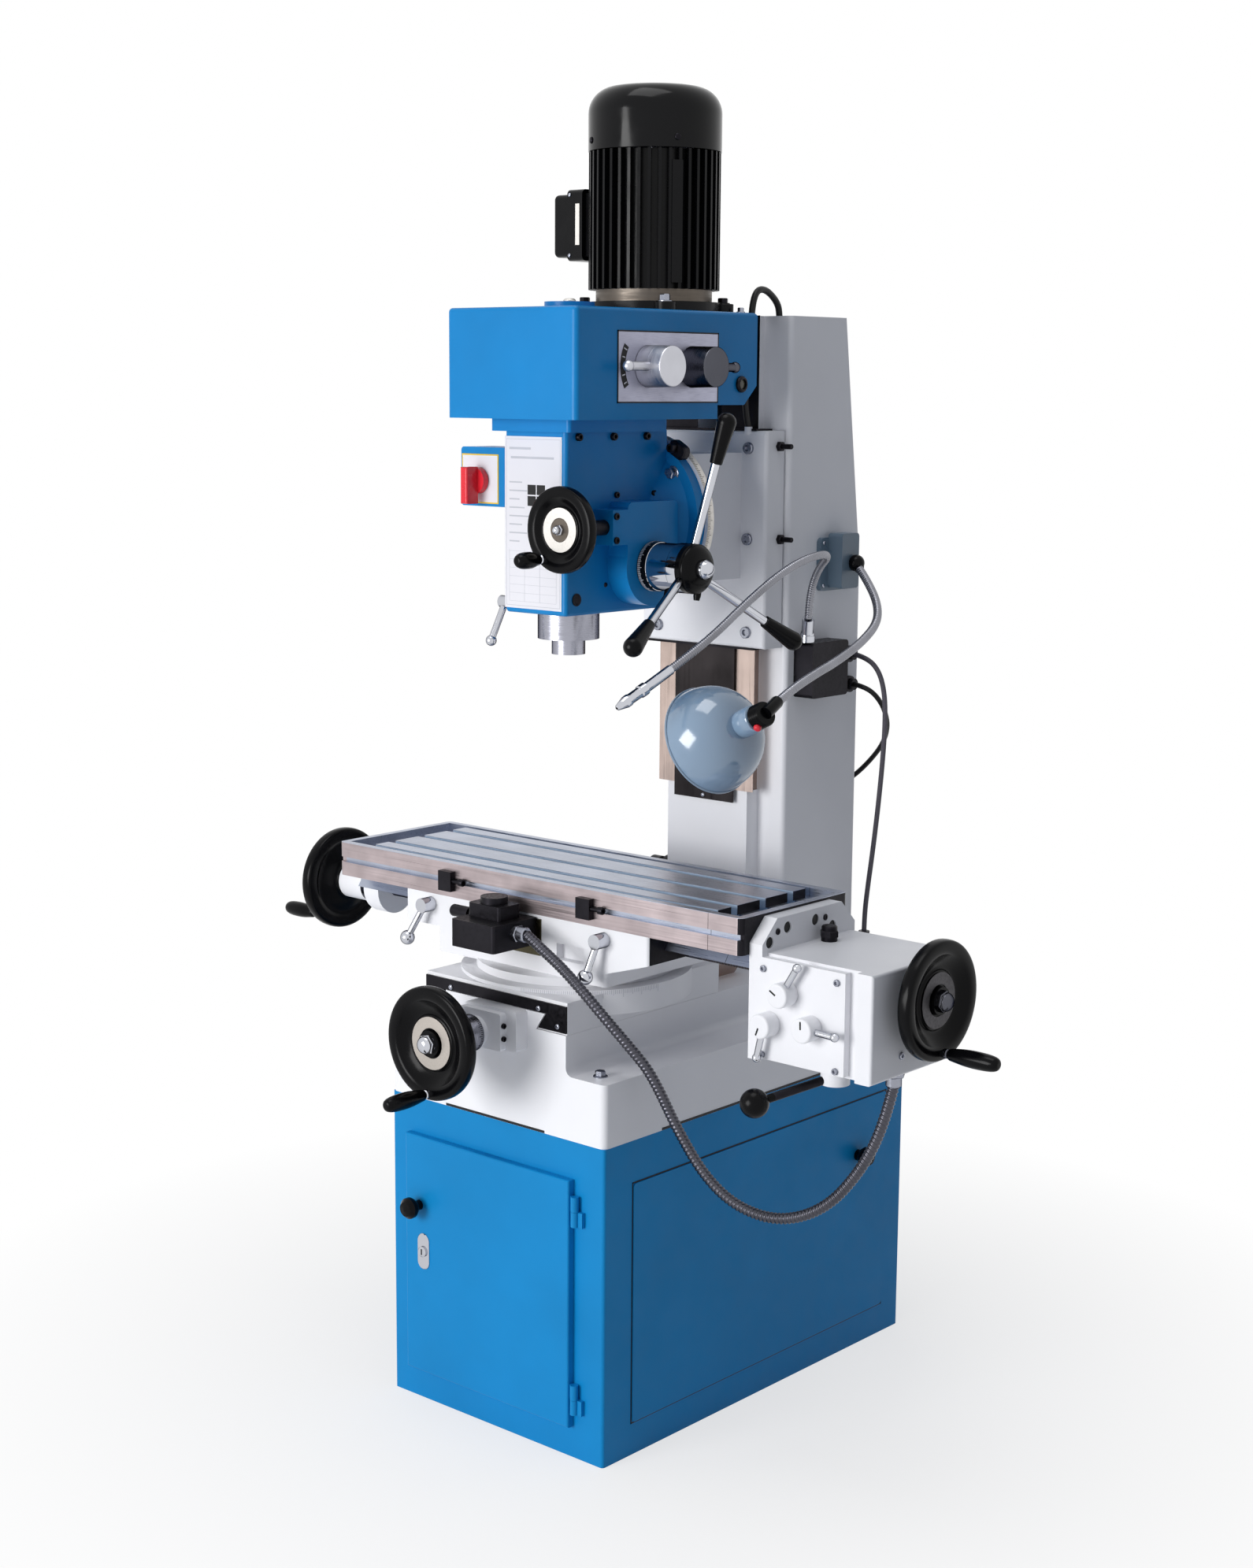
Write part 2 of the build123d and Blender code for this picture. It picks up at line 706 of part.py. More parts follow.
# Table: plateau with three tee slots, end troughs, side grooves and a male dovetail below
plateau_left = table_left + rim_width + trough_width
plateau_right = table_right - rim_width - trough_width
with BuildPart() as table:
    block(table_left, table_right, table_front, table_back, table_bottom, table_top)
    fillet(table.edges().filter_by(Axis.Z), 8)
    with BuildSketch(Plane.YZ.offset(table_left)):
        Polygon(
            (swivel_y - table_way_half, table_bottom - table_way_height),
            (swivel_y + table_way_half, table_bottom - table_way_height),
            (swivel_y + table_way_neck, table_bottom), (swivel_y - table_way_neck, table_bottom), align=None,
        )
    extrude(amount=table_right - table_left)
    for trough_left in (table_left + rim_width, plateau_right):
        block(
            trough_left, trough_left + trough_width, table_front + rim_width, table_back - rim_width,
            table_top - trough_depth, table_top + 1, mode=Mode.SUBTRACT,
        )
    for groove_y in (table_front + rim_width, table_back - rim_width - side_groove):
        block(
            plateau_left - 1, plateau_right + 1, groove_y, groove_y + side_groove,
            table_top - trough_depth, table_top + 1, mode=Mode.SUBTRACT,
        )
    for slot in (-1, 0, 1):
        slot_y = swivel_y + slot * slot_pitch
        block(
            plateau_left - 1, plateau_right + 1, slot_y - slot_width / 2, slot_y + slot_width / 2,
            table_top - slot_neck - 1, table_top + 1, mode=Mode.SUBTRACT,
        )
        block(
            plateau_left - 30, plateau_right + 30, slot_y - tee_width / 2, slot_y + tee_width / 2,
            table_top - slot_neck - tee_height, table_top - slot_neck, mode=Mode.SUBTRACT,
        )
    block(table_left - 1, table_right + 1, table_front - 1, table_front + 7, 795, 803, mode=Mode.SUBTRACT)
table.part.label = "table"
export_step(table.part, "parts/table.step")

# Stop dogs clamped in the groove along the table's front
with BuildPart() as stop_dogs:
    for dog_x in dog_positions:
        block(dog_x - 13, dog_x + 13, table_front - 10, table_front, 784, 814)
        block(dog_x - 13, dog_x + 13, table_front, table_front + 5, 796, 802)
stop_dogs.part.label = "stop_dogs"
export_step(stop_dogs.part, "parts/stop_dogs.step")

# End bracket under the table's left end
with BuildPart() as end_bracket:
    with BuildSketch(Plane.YZ.offset(table_left)):
        with Locations((swivel_y, table_screw_z)):
            Circle(40)
        with Locations((swivel_y, (table_screw_z + 804) / 2)):
            Rectangle(80, 804 - table_screw_z)
    extrude(amount=-36)
    fillet(end_bracket.faces().sort_by(Axis.X)[0].edges(), 4)
    rod((table_left + 1, swivel_y, table_screw_z), (table_left - 60, swivel_y, table_screw_z), screw_bore,
        mode=Mode.SUBTRACT)
end_bracket.part.label = "end_bracket"
export_step(end_bracket.part, "parts/end_bracket.step")

# Feed gearbox: end flange, hollow box, front cover and a boss for the lever below
feed_body_front = feed_front + feed_cover_depth
with BuildPart() as feed_gearbox:
    with BuildSketch(Plane.YZ.offset(table_right)):
        Polygon(
            (feed_front, feed_bottom), (-80, feed_bottom), (-80, feed_flange_top - 32),
            (-112, feed_flange_top), (feed_front + 32, feed_flange_top), (feed_front, feed_flange_top - 32),
            align=None,
        )
    extrude(amount=feed_flange_right - table_right)
    block(feed_flange_right, feed_right, feed_body_front, feed_back, feed_bottom, feed_top)
    block(feed_cover_right + 18, feed_right, feed_front, feed_body_front, feed_bottom, feed_top)
    block(table_right + 4, feed_cover_right, feed_front, feed_body_front, feed_bottom + 4, feed_top - 4)
    fillet(feed_gearbox.faces().filter_by_position(Axis.X, feed_right - 1, feed_right + 1).edges(), 4)
    block(
        feed_flange_right + feed_wall, feed_right - feed_wall,
        feed_body_front + feed_wall, feed_back - feed_wall,
        feed_bottom + feed_wall, feed_top - feed_wall, mode=Mode.SUBTRACT,
    )
    rod(
        (feed_boss[0], feed_boss[1], feed_bottom - feed_boss_drop),
        (feed_boss[0], feed_boss[1], feed_bottom), feed_boss_radius,
    )
    rod((448, -164, feed_top), (448, -164, feed_top + 14), 11)
    rod(
        (table_right - 1, swivel_y, table_screw_z), (feed_right + 1, swivel_y, table_screw_z),
        screw_bore, mode=Mode.SUBTRACT,
    )
    for knob_x, knob_z, knob_turn in feed_knobs.values():
        rod(
            (knob_x, feed_front - 1, knob_z), (knob_x, feed_body_front + feed_wall + 1, knob_z),
            6 + shaft_play, mode=Mode.SUBTRACT,
        )
    for hole_y, hole_z in flange_holes:
        rod(
            (feed_flange_right - 12, hole_y, hole_z), (feed_flange_right + 1, hole_y, hole_z),
            flange_hole_radius, mode=Mode.SUBTRACT,
        )
    rod((feed_boss[0], feed_boss[1], feed_bottom - feed_boss_drop - 1),
        (feed_boss[0], feed_boss[1], feed_bottom - 2), 6 + shaft_play, mode=Mode.SUBTRACT)
feed_gearbox.part.label = "feed_gearbox"
export_step(feed_gearbox.part, "parts/feed_gearbox.step")

# Feed selector knobs with their rods
for feed_name, (knob_x, knob_z, knob_turn) in feed_knobs.items():
    knob_back = feed_front - turn_gap
    tip_x = knob_x + 48 * cos(radians(knob_turn))
    tip_z = knob_z + 48 * sin(radians(knob_turn))
    with BuildPart() as feed_knob:
        rod((knob_x, feed_body_front + feed_wall, knob_z), (knob_x, knob_back, knob_z), 6)
        rod((knob_x, knob_back, knob_z), (knob_x, knob_back - feed_knob_depth, knob_z), feed_knob_radius)
        fillet(feed_knob.edges().filter_by(GeomType.CIRCLE).sort_by(Axis.Y)[0], 3)
        add(ball_rod((knob_x, knob_back - 14, knob_z), (tip_x, knob_back - 14, tip_z), 4.5, 6))
    feed_knob.part.label = feed_name
    export_step(feed_knob.part, f"parts/{feed_name}.step")

# Feed direction lever under the gearbox
lever_hub_top = feed_bottom - feed_boss_drop - turn_gap
with BuildPart() as feed_lever:
    rod((feed_boss[0], feed_boss[1], lever_hub_top), (feed_boss[0], feed_boss[1], feed_bottom - 3), 6)
    rod((feed_boss[0], feed_boss[1], lever_hub_top - 20), (feed_boss[0], feed_boss[1], lever_hub_top), 20)
    add(ball_rod((feed_boss[0], feed_boss[1], lever_hub_top - 10), (460, -340, 588), 6, 20))
feed_lever.part.label = "feed_lever"
export_step(feed_lever.part, "parts/feed_lever.step")

# Table screw through both end brackets, with its collars and dials, and its two handwheels
with BuildPart() as x_leadscrew:
    rod(
        (left_wheel_x - 30, swivel_y, table_screw_z), (right_wheel_x + 30, swivel_y, table_screw_z),
        screw_radius,
    )
    rod((feed_right + turn_gap, swivel_y, table_screw_z), (right_wheel_x, swivel_y, table_screw_z), 30)
    rod((table_left - 36 - turn_gap, swivel_y, table_screw_z), (-446, swivel_y, table_screw_z), 20)
    rod((-446, swivel_y, table_screw_z), (left_wheel_x, swivel_y, table_screw_z), 29)
    for end_x, outward in ((right_wheel_x, 1), (left_wheel_x, -1)):
        nut = end_x + outward * 23
        rod((nut, swivel_y, table_screw_z), (nut + outward * 6, swivel_y, table_screw_z), 19)
        ball((nut + outward * 6, swivel_y, table_screw_z), 13)
x_leadscrew.part.label = "x_leadscrew"
export_step(x_leadscrew.part, "parts/x_leadscrew.step")

right_wheel = handwheel(
    (right_wheel_x, swivel_y, table_screw_z), (1, 0, 0), wheel_radius, wheel_handle_radius, -85, 84,
)
left_wheel = handwheel(
    (left_wheel_x, swivel_y, table_screw_z), (-1, 0, 0), wheel_radius, wheel_handle_radius, 229, 73,
)
with BuildPart() as x_handwheels:
    add(right_wheel)
    add(left_wheel)
x_handwheels.part.label = "x_handwheels"
export_step(x_handwheels.part, "parts/x_handwheels.step")

# Column: hollow casting with dovetail ways in front, a slot for the lift nut and a shelf for its screw
shelf_top = lift_shelf_z + column_wall
way_back_y = column_way_front + column_way_depth
with BuildPart() as column:
    with BuildSketch(Plane.YZ):
        Polygon(
            (column_front, base_block_z), (column_back, base_block_z), (column_back, column_taper_z),
            (column_top_back, column_top), (column_front, column_top), align=None,
        )
    extrude(amount=column_half, both=True)
    fillet(column.edges().filter_by(Axis.Z), 8)
    with BuildSketch(Plane.YZ):
        Polygon(
            (column_front + column_wall, base_block_z - 1), (column_back - column_wall, base_block_z - 1),
            (column_back - column_wall, column_taper_z),
            (column_top_back - column_wall, column_top - column_wall),
            (column_front + column_wall, column_top - column_wall), align=None,
        )
    extrude(amount=column_half - column_wall, both=True, mode=Mode.SUBTRACT)
    with BuildSketch(Plane.XY.offset(base_block_z)):
        Polygon(
            (column_wall - column_half - 1, column_front + column_wall - 1),
            (column_chamfer_x + 9, column_front + column_wall - 1),
            (column_wall - column_half - 1, column_chamfer_y + 3), align=None,
        )
    extrude(amount=column_top - column_wall - base_block_z + 1)
    with BuildSketch(Plane.XY.offset(base_block_z)):
        Polygon(
            (-column_half - 1, column_front - 1), (column_chamfer_x + 1, column_front - 1),
            (-column_half - 1, column_chamfer_y + 1), align=None,
        )
    extrude(amount=column_top - base_block_z, mode=Mode.SUBTRACT)
    block(
        1 - column_half, column_half - 1, column_front + 4, column_back - 4, lift_shelf_z, shelf_top,
    )
    block(
        -column_pad_half, column_pad_half, column_pad_front, column_front + 1,
        base_block_z, column_way_bottom,
    )
    block(-column_way_neck, column_way_neck, way_back_y - 1, column_front + 1, column_way_bottom, column_top)
    with BuildSketch(Plane.XY.offset(column_way_bottom)):
        Polygon(
            (-column_way_half, column_way_front), (column_way_half, column_way_front),
            (column_way_neck, way_back_y), (-column_way_neck, way_back_y), align=None,
        )
    extrude(amount=column_top - column_way_bottom)
    block(
        -lift_slot_half, lift_slot_half, column_way_front - 1, column_front + column_wall + 1,
        column_way_bottom + 16, column_top - column_wall, mode=Mode.SUBTRACT,
    )
    rod(
        (0, lift_screw_y, lift_shelf_z - 1), (0, lift_screw_y, shelf_top + 1), lift_screw_radius + shaft_play,
        mode=Mode.SUBTRACT,
    )
    rod(
        (0, lift_screw_y, column_top - column_wall - 1), (0, lift_screw_y, column_top + 1), 10 + shaft_play,
        mode=Mode.SUBTRACT,
    )
    rod(
        (-column_half - 1, lift_screw_y, lift_crank_z),
        (-column_half + column_wall + 1, lift_screw_y, lift_crank_z), 10 + shaft_play, mode=Mode.SUBTRACT,
    )
    rod((99, 152, column_top - 30), (99, 152, column_top + 1), motor_cable_radius + 2, mode=Mode.SUBTRACT)
column.part.label = "column"
export_step(column.part, "parts/column.step")

# Lift screw with its bevel wheel, and the crank that turns it through a bevel pinion
bevel_radius = 31
bevel_depth = 14
with BuildPart() as z_leadscrew:
    rod((0, lift_screw_y, lift_shelf_z), (0, lift_screw_y, column_top - column_wall), lift_screw_radius)
    rod((0, lift_screw_y, column_top - column_wall - 2), (0, lift_screw_y, column_top - 3), 10)
    rod(
        (0, lift_screw_y, shelf_top + turn_gap), (0, lift_screw_y, shelf_top + turn_gap + 6), bevel_radius,
    )
    rod(
        (0, lift_screw_y, shelf_top + turn_gap + 6),
        (0, lift_screw_y, shelf_top + turn_gap + 6 + bevel_depth),
        bevel_radius, end_radius=bevel_radius - bevel_depth,
    )
z_leadscrew.part.label = "z_leadscrew"
export_step(z_leadscrew.part, "parts/z_leadscrew.step")

crank_reach = 130
with BuildPart() as lift_crank:
    for inner_x, outer_x, radius in (
        (-bevel_radius - 14, -column_half - 40, 10), (-bevel_radius - 14, -bevel_radius - 8, 14),
        (-column_half - turn_gap, -column_half - 14, 22), (-column_half - 26, -column_half - 44, 18),
    ):
        rod((inner_x, lift_screw_y, lift_crank_z), (outer_x, lift_screw_y, lift_crank_z), radius)
    crank_x = -column_half - 35
    rod((crank_x, lift_screw_y, lift_crank_z), (crank_x, lift_screw_y, lift_crank_z - crank_reach), 8)
    ball((crank_x, lift_screw_y, lift_crank_z - crank_reach), 13)
    rod(
        (crank_x, lift_screw_y, lift_crank_z - crank_reach),
        (crank_x - 85, lift_screw_y, lift_crank_z - crank_reach), 10, end_radius=13,
    )
lift_crank.part.label = "lift_crank"
export_step(lift_crank.part, "parts/lift_crank.step")

# Carriage: rides the column ways, carries the lift nut and the arm with the swivel disc
with BuildPart() as carriage:
    block(-carriage_half, carriage_half, carriage_front, carriage_back, carriage_bottom, carriage_top)
    fillet(carriage.faces().sort_by(Axis.Y)[0].edges(), 6)
    with BuildSketch(Plane.XY.offset(carriage_bottom - 1)):
        Polygon(
            (-column_way_half - flank_play, column_way_front - slide_gap),
            (column_way_half + flank_play, column_way_front - slide_gap),
            (column_way_neck + flank_play, way_back_y + slide_gap),
            (column_way_neck + flank_play, carriage_back + 1),
            (-column_way_neck - flank_play, carriage_back + 1),
            (-column_way_neck - flank_play, way_back_y + slide_gap), align=None,
        )
    extrude(amount=carriage_top - carriage_bottom + 2, mode=Mode.SUBTRACT)
    block(
        -arm_half, arm_half, swivel_disc_back - 2, carriage_front + 2,
        head_swivel_z - arm_half_height, head_swivel_z + arm_half_height,
    )
    rod((0, swivel_disc_back, head_swivel_z), (0, swivel_disc_front, head_swivel_z), swivel_disc_radius)
    block(-20, 20, column_way_front - slide_gap - 1, lift_screw_y + 24, 1280, 1345)
    rod((0, lift_screw_y, 1270), (0, lift_screw_y, 1355), lift_screw_radius + shaft_play, mode=Mode.SUBTRACT)
    rod((0, swivel_disc_front - 1, head_swivel_z), (0, swivel_disc_front + 26, head_swivel_z),
        head_pivot_radius + shaft_play, mode=Mode.SUBTRACT)
    rod((84, 99, carriage_top - 6), (84, 99, carriage_top + 6), 6)
carriage.part.label = "carriage"
export_step(carriage.part, "parts/carriage.step")

# Wiper plates above and below the carriage, and the cover that hangs in front of the ways
with BuildPart() as carriage_wipers:
    for wiper_z in (carriage_bottom - 3, carriage_top):
        with BuildSketch(Plane.XY.offset(wiper_z)):
            Polygon(
                (4 - carriage_half, carriage_front + 2), (carriage_half - 22, carriage_front + 2),
                (carriage_half - 22, carriage_back - 2), (column_way_neck + 2, carriage_back - 2),
                (column_way_neck + 2, way_back_y), (column_way_half + 2, column_way_front - 1),
                (-column_way_half - 2, column_way_front - 1), (-column_way_neck - 2, way_back_y),
                (-column_way_neck - 2, carriage_back - 2), (4 - carriage_half, carriage_back - 2), align=None,
            )
        extrude(amount=3)
    block(
        -cover_half, cover_half, column_way_front - 5, column_way_front - 2,
        cover_bottom, carriage_bottom - 3,
    )
    rod((84, 99, carriage_top - 1), (84, 99, carriage_top + 4), 6.5, mode=Mode.SUBTRACT)
carriage_wipers.part.label = "carriage_wipers"
export_step(carriage_wipers.part, "parts/carriage_wipers.step")

# Head casting: quill bore, rack slot, pinion seat, swivel flange and the neck under the gearbox
flange_back = swivel_disc_front - slide_gap
rack_back = hub_y - pinion_module * pinion_teeth / 2 + 0.75 * pinion_module
with BuildPart() as head_casting:
    block(-head_half, head_half, head_front, head_back, head_bottom, head_top + 1)
    fillet(head_casting.edges().filter_by(Axis.Z).sort_by(Axis.Y)[:2], head_corner)
    fillet(head_casting.faces().sort_by(Axis.Z)[0].edges(), 5)
    rod((0, head_back - 42, head_swivel_z), (0, head_back, head_swivel_z), 62, end_radius=104)
    rod((0, head_back, head_swivel_z), (0, flange_back, head_swivel_z), head_flange_radius)
    block(-neck_half, neck_half, neck_front, neck_back, head_top, gearbox_bottom)
    neck_edges = head_casting.edges().filter_by(Axis.Z)
    fillet(neck_edges.filter_by_position(Axis.Z, head_top + 2, gearbox_bottom - 2), head_corner)
    rod((0, flange_back, head_swivel_z), (0, flange_back + 22, head_swivel_z), head_pivot_radius)
    rod((0, spindle_y, head_bottom - 1), (0, spindle_y, gearbox_bottom + 1), quill_bore, mode=Mode.SUBTRACT)
    block(-10.5, 10.5, spindle_y + 30, rack_back + 1.5, head_bottom - 1, head_top, mode=Mode.SUBTRACT)
    rod((-pinion_half - 2, hub_y, hub_z), (pinion_half + 2, hub_y, hub_z),
        pinion_module * pinion_teeth / 2 + 5, mode=Mode.SUBTRACT)
    rod((4 - head_half, hub_y, hub_z), (head_half + 1, hub_y, hub_z), lever_hub_bore, mode=Mode.SUBTRACT)
    rod((-head_half - 1, -268, 1218), (14 - head_half, -268, 1218), 5 + shaft_play, mode=Mode.SUBTRACT)
head_casting.part.label = "head_casting"
export_step(head_casting.part, "parts/head_casting.step")

# Feed housing on the head's right side, round the worm and its wheel
worm_wheel_radius = worm_z - hub_z - worm_radius - 0.5
housing_bottom_radius = (housing_back - housing_front) / 2
with BuildPart() as feed_housing:
    block(head_half, housing_right, housing_front, housing_back, housing_bottom + 40, housing_top)
    rod((head_half, hub_y, hub_z), (housing_right, hub_y, hub_z), housing_bottom_radius + 2)
    fillet(feed_housing.edges().filter_by(Axis.X).sort_by(Axis.Z)[-2:], 10)
    block(
        head_half, housing_right, worm_bracket_front, housing_front + 1,
        worm_z - worm_bracket_half, worm_z + worm_bracket_half,
    )
    rod(
        (head_half - 1, hub_y, hub_z), (housing_right - 7, hub_y, hub_z), worm_wheel_radius + 1.5,
        mode=Mode.SUBTRACT,
    )
    rod(
        (housing_right - 8, hub_y, hub_z), (housing_right + 1, hub_y, hub_z), lever_hub_bore,
        mode=Mode.SUBTRACT,
    )
    rod(
        (worm_x, housing_front + 20, worm_z), (worm_x, housing_back - 32, worm_z), worm_radius + 1.5,
        mode=Mode.SUBTRACT,
    )
    rod(
        (worm_x, worm_bracket_front - 1, worm_z), (worm_x, housing_back - 24, worm_z), 8 + shaft_play,
        mode=Mode.SUBTRACT,
    )
    rod(
        (0, head_back - 42, head_swivel_z), (0, head_back, head_swivel_z), 62,
        mode=Mode.SUBTRACT, end_radius=104,
    )
feed_housing.part.label = "feed_housing"
export_step(feed_housing.part, "parts/feed_housing.step")

# Quill with its rack and the spindle inside it, with a taper socket
rack_pitch = pi * pinion_module
rack_line = hub_y - pinion_module * pinion_teeth / 2
rack_teeth = 22
with BuildPart() as quill:
    with Locations((0, spindle_y, quill_bottom)):
        Cylinder(quill_radius, quill_top - quill_bottom, align=low)
    block(
        -pinion_half, pinion_half, spindle_y + 35, rack_line - 1.05 * pinion_module,
        quill_bottom + 62, quill_top - 6,
    )
    for tooth in range(rack_teeth):
        tooth_z = hub_z + rack_pitch * (tooth - 1.5)
        with BuildSketch(Plane.YZ.offset(-pinion_half)):
            Polygon(
                (rack_line - 1.3 * pinion_module, tooth_z - 0.29 * rack_pitch),
                (rack_line + 0.75 * pinion_module, tooth_z - 0.10 * rack_pitch),
                (rack_line + 0.75 * pinion_module, tooth_z + 0.10 * rack_pitch),
                (rack_line - 1.3 * pinion_module, tooth_z + 0.29 * rack_pitch), align=None,
            )
        extrude(amount=2 * pinion_half)
    rod(
        (0, spindle_y, quill_bottom - 1), (0, spindle_y, quill_top + 1), spindle_radius + shaft_play,
        mode=Mode.SUBTRACT,
    )
    rod(
        (0, spindle_y, quill_bottom + 44), (0, spindle_y, quill_top - 40), spindle_radius + 6,
        mode=Mode.SUBTRACT,
    )
quill.part.label = "quill"
export_step(quill.part, "parts/quill.step")

spindle_top = 1624
with BuildPart() as spindle:
    rod((0, spindle_y, nose_bottom), (0, spindle_y, quill_bottom - turn_gap), nose_radius)
    rod((0, spindle_y, quill_bottom - 1), (0, spindle_y, quill_top + 4), spindle_radius)
    rod((0, spindle_y, quill_top), (0, spindle_y, spindle_top), spline_radius)
    rod(
        (0, spindle_y, nose_bottom), (0, spindle_y, nose_bottom + 102), 15.6, mode=Mode.SUBTRACT,
        end_radius=12.9,
    )
    rod((0, spindle_y, nose_bottom + 100), (0, spindle_y, spindle_top + 1), 8.5, mode=Mode.SUBTRACT)
spindle.part.label = "spindle"
export_step(spindle.part, "parts/spindle.step")

# Feed hub: shaft with the rack pinion, dial, barrel and disc with three lever rods
hub_outline = (
    (0, 6 - head_half), (hub_shaft_radius, 6 - head_half), (hub_shaft_radius, housing_right + turn_gap),
    (36, housing_right + turn_gap), (36, 112), (34.5, 113), (34.5, 150), (36, 152), (36, 176),
    (34, 178), (19, 178), (19, 184), (14, 186), (14, 198), (9, 205), (0, 205),
)
hub_body = turned((0, hub_y, hub_z), (1, 0, 0), hub_outline)
hub_pinion = toothed(
    Plane(origin=(-pinion_half, hub_y, hub_z), x_dir=(0, -1, 0), z_dir=(1, 0, 0)),
    pinion_module, pinion_teeth, 2 * pinion_half, 0, phase=0,
)


def lever_point(angle, reach):
    """Return the point on a feed lever's axis at a distance from the hub's axis."""
    x = lever_plane_x + (lever_tip_x - lever_plane_x) * reach / lever_reach
    return (x, hub_y + reach * cos(radians(angle)), hub_z + reach * sin(radians(angle)))


with BuildPart() as feed_hub:
    add(hub_body)
    add(hub_pinion)
    for angle in lever_angles:
        rod(lever_point(angle, 20), lever_point(angle, 150), 6.5)
feed_hub.part.label = "feed_hub"
export_step(feed_hub.part, "parts/feed_hub.step")

with BuildPart() as lever_grips:
    for angle in lever_angles:
        rod(lever_point(angle, 150), lever_point(angle, lever_reach - 12), 9, end_radius=14)
        ball(lever_point(angle, lever_reach - 12), 14)
lever_grips.part.label = "lever_grips"
export_step(lever_grips.part, "parts/lever_grips.step")

# Fine feed: worm wheel on the hub shaft, worm shaft and its small handwheel
with BuildPart() as worm_wheel:
    rod((head_half + 12, hub_y, hub_z), (head_half + 27, hub_y, hub_z), worm_wheel_radius)
    rod((head_half + turn_gap, hub_y, hub_z), (housing_right - 7 - turn_gap, hub_y, hub_z), 22)
    rod((head_half - 1, hub_y, hub_z), (housing_right, hub_y, hub_z), lever_hub_bore, mode=Mode.SUBTRACT)
worm_wheel.part.label = "worm_wheel"
export_step(worm_wheel.part, "parts/worm_wheel.step")

fine_outline = (
    (0, 0), (18, 0), (18, 4), (fine_wheel_radius - 16, 6), (fine_wheel_radius - 10, 2),
    (fine_wheel_radius - 3, 2), (fine_wheel_radius, 5), (fine_wheel_radius, 15),
    (fine_wheel_radius - 3, 18), (fine_wheel_radius - 11, 18), (fine_wheel_radius - 17, 12),
    (30, 9), (28, 14), (12, 14), (12, 20), (7, 24), (0, 25),
)
fine_disc = turned((worm_x, fine_wheel_y, worm_z), (0, -1, 0), fine_outline)
fine_grip = turned(
    (worm_x - 30, fine_wheel_y - 18, worm_z - 42), (0, -1, 0),
    ((0, 0), (4, 0), (4, 5), (6, 7), (9, 30), (9, 42), (6, 50), (0, 52)),
)
with BuildPart() as fine_wheel:
    add(fine_disc)
    add(fine_grip)
    rod((worm_x, fine_wheel_y + 1, worm_z), (worm_x, housing_back - 26, worm_z), 8)
    rod((worm_x, fine_wheel_y, worm_z), (worm_x, worm_bracket_front - turn_gap, worm_z), 11)
    rod((worm_x, hub_y - 22, worm_z), (worm_x, hub_y + 21, worm_z), worm_radius)
fine_wheel.part.label = "fine_wheel"
export_step(fine_wheel.part, "parts/fine_wheel.step")

# Quill lock lever on the head's left side
lock_face = -head_half - turn_gap
with BuildPart() as quill_lock:
    rod((12 - head_half, -268, 1218), (lock_face, -268, 1218), 5)
    rod((lock_face, -268, 1218), (lock_face - 18, -268, 1218), 9)
    add(ball_rod((lock_face - 10, -268, 1218), (-80, -288, 1162), 5, 8))
quill_lock.part.label = "quill_lock"
export_step(quill_lock.part, "parts/quill_lock.step")

# Gearbox case: a hollow box, stepped up at the back, open above for the motor shaft
inner_bottom = gearbox_bottom + gearbox_wall
inner_top = gearbox_top - gearbox_wall
counter_y = motor_y - gear_module * (pinion_count + wheel_count) / 2
pinion_tip = gear_module * (pinion_count / 2 + 0.75)
with BuildPart() as gearbox_case:
    with BuildSketch(Plane.YZ):
        Polygon(
            (gearbox_front, gearbox_bottom), (-26, gearbox_bottom), (-26, gearbox_bottom + 20),
            (36, gearbox_bottom + 20), (gearbox_back, gearbox_bottom + 48), (gearbox_back, gearbox_top),
            (gearbox_front, gearbox_top), align=None,
        )
    extrude(amount=gearbox_half, both=True)
    fillet(gearbox_case.edges().filter_by(Axis.Z).sort_by(Axis.Y)[:2], gearbox_corner)
    fillet(gearbox_case.faces().sort_by(Axis.Z)[-1].edges(), 6)
    with BuildSketch(Plane.YZ):
        Polygon(
            (gearbox_front + gearbox_wall, inner_bottom), (-26 - gearbox_wall, inner_bottom),
            (-26 - gearbox_wall, inner_bottom + 20), (30, inner_bottom + 20),
            (gearbox_back - gearbox_wall, inner_bottom + 44), (gearbox_back - gearbox_wall, inner_top),
            (gearbox_front + gearbox_wall, inner_top), align=None,
        )
    extrude(amount=gearbox_half - gearbox_wall, both=True, mode=Mode.SUBTRACT)
    rod((0, spindle_y, gearbox_top), (0, spindle_y, gearbox_top + 10), 36)
    rod((0, spindle_y, inner_top - 1), (0, spindle_y, gearbox_top + 5), 22, mode=Mode.SUBTRACT)
    rod((0, motor_y, inner_top - 1), (0, motor_y, gearbox_top + 1), pinion_tip + 3, mode=Mode.SUBTRACT)
    rod(
        (0, spindle_y, gearbox_bottom - 1), (0, spindle_y, inner_bottom + 1), 26 + shaft_play,
        mode=Mode.SUBTRACT,
    )
    rod(
        (0, counter_y, inner_bottom - 8), (0, counter_y, inner_top + 8), hub_shaft_radius + shaft_play,
        mode=Mode.SUBTRACT,
    )
    for knob_y in (speed_knob_front_y, speed_knob_rear_y):
        rod(
            (gearbox_half - gearbox_wall - 1, knob_y, speed_knob_z), (gearbox_half + 1, knob_y, speed_knob_z),
            8 + shaft_play, mode=Mode.SUBTRACT,
        )
gearbox_case.part.label = "gearbox_case"
export_step(gearbox_case.part, "parts/gearbox_case.step")

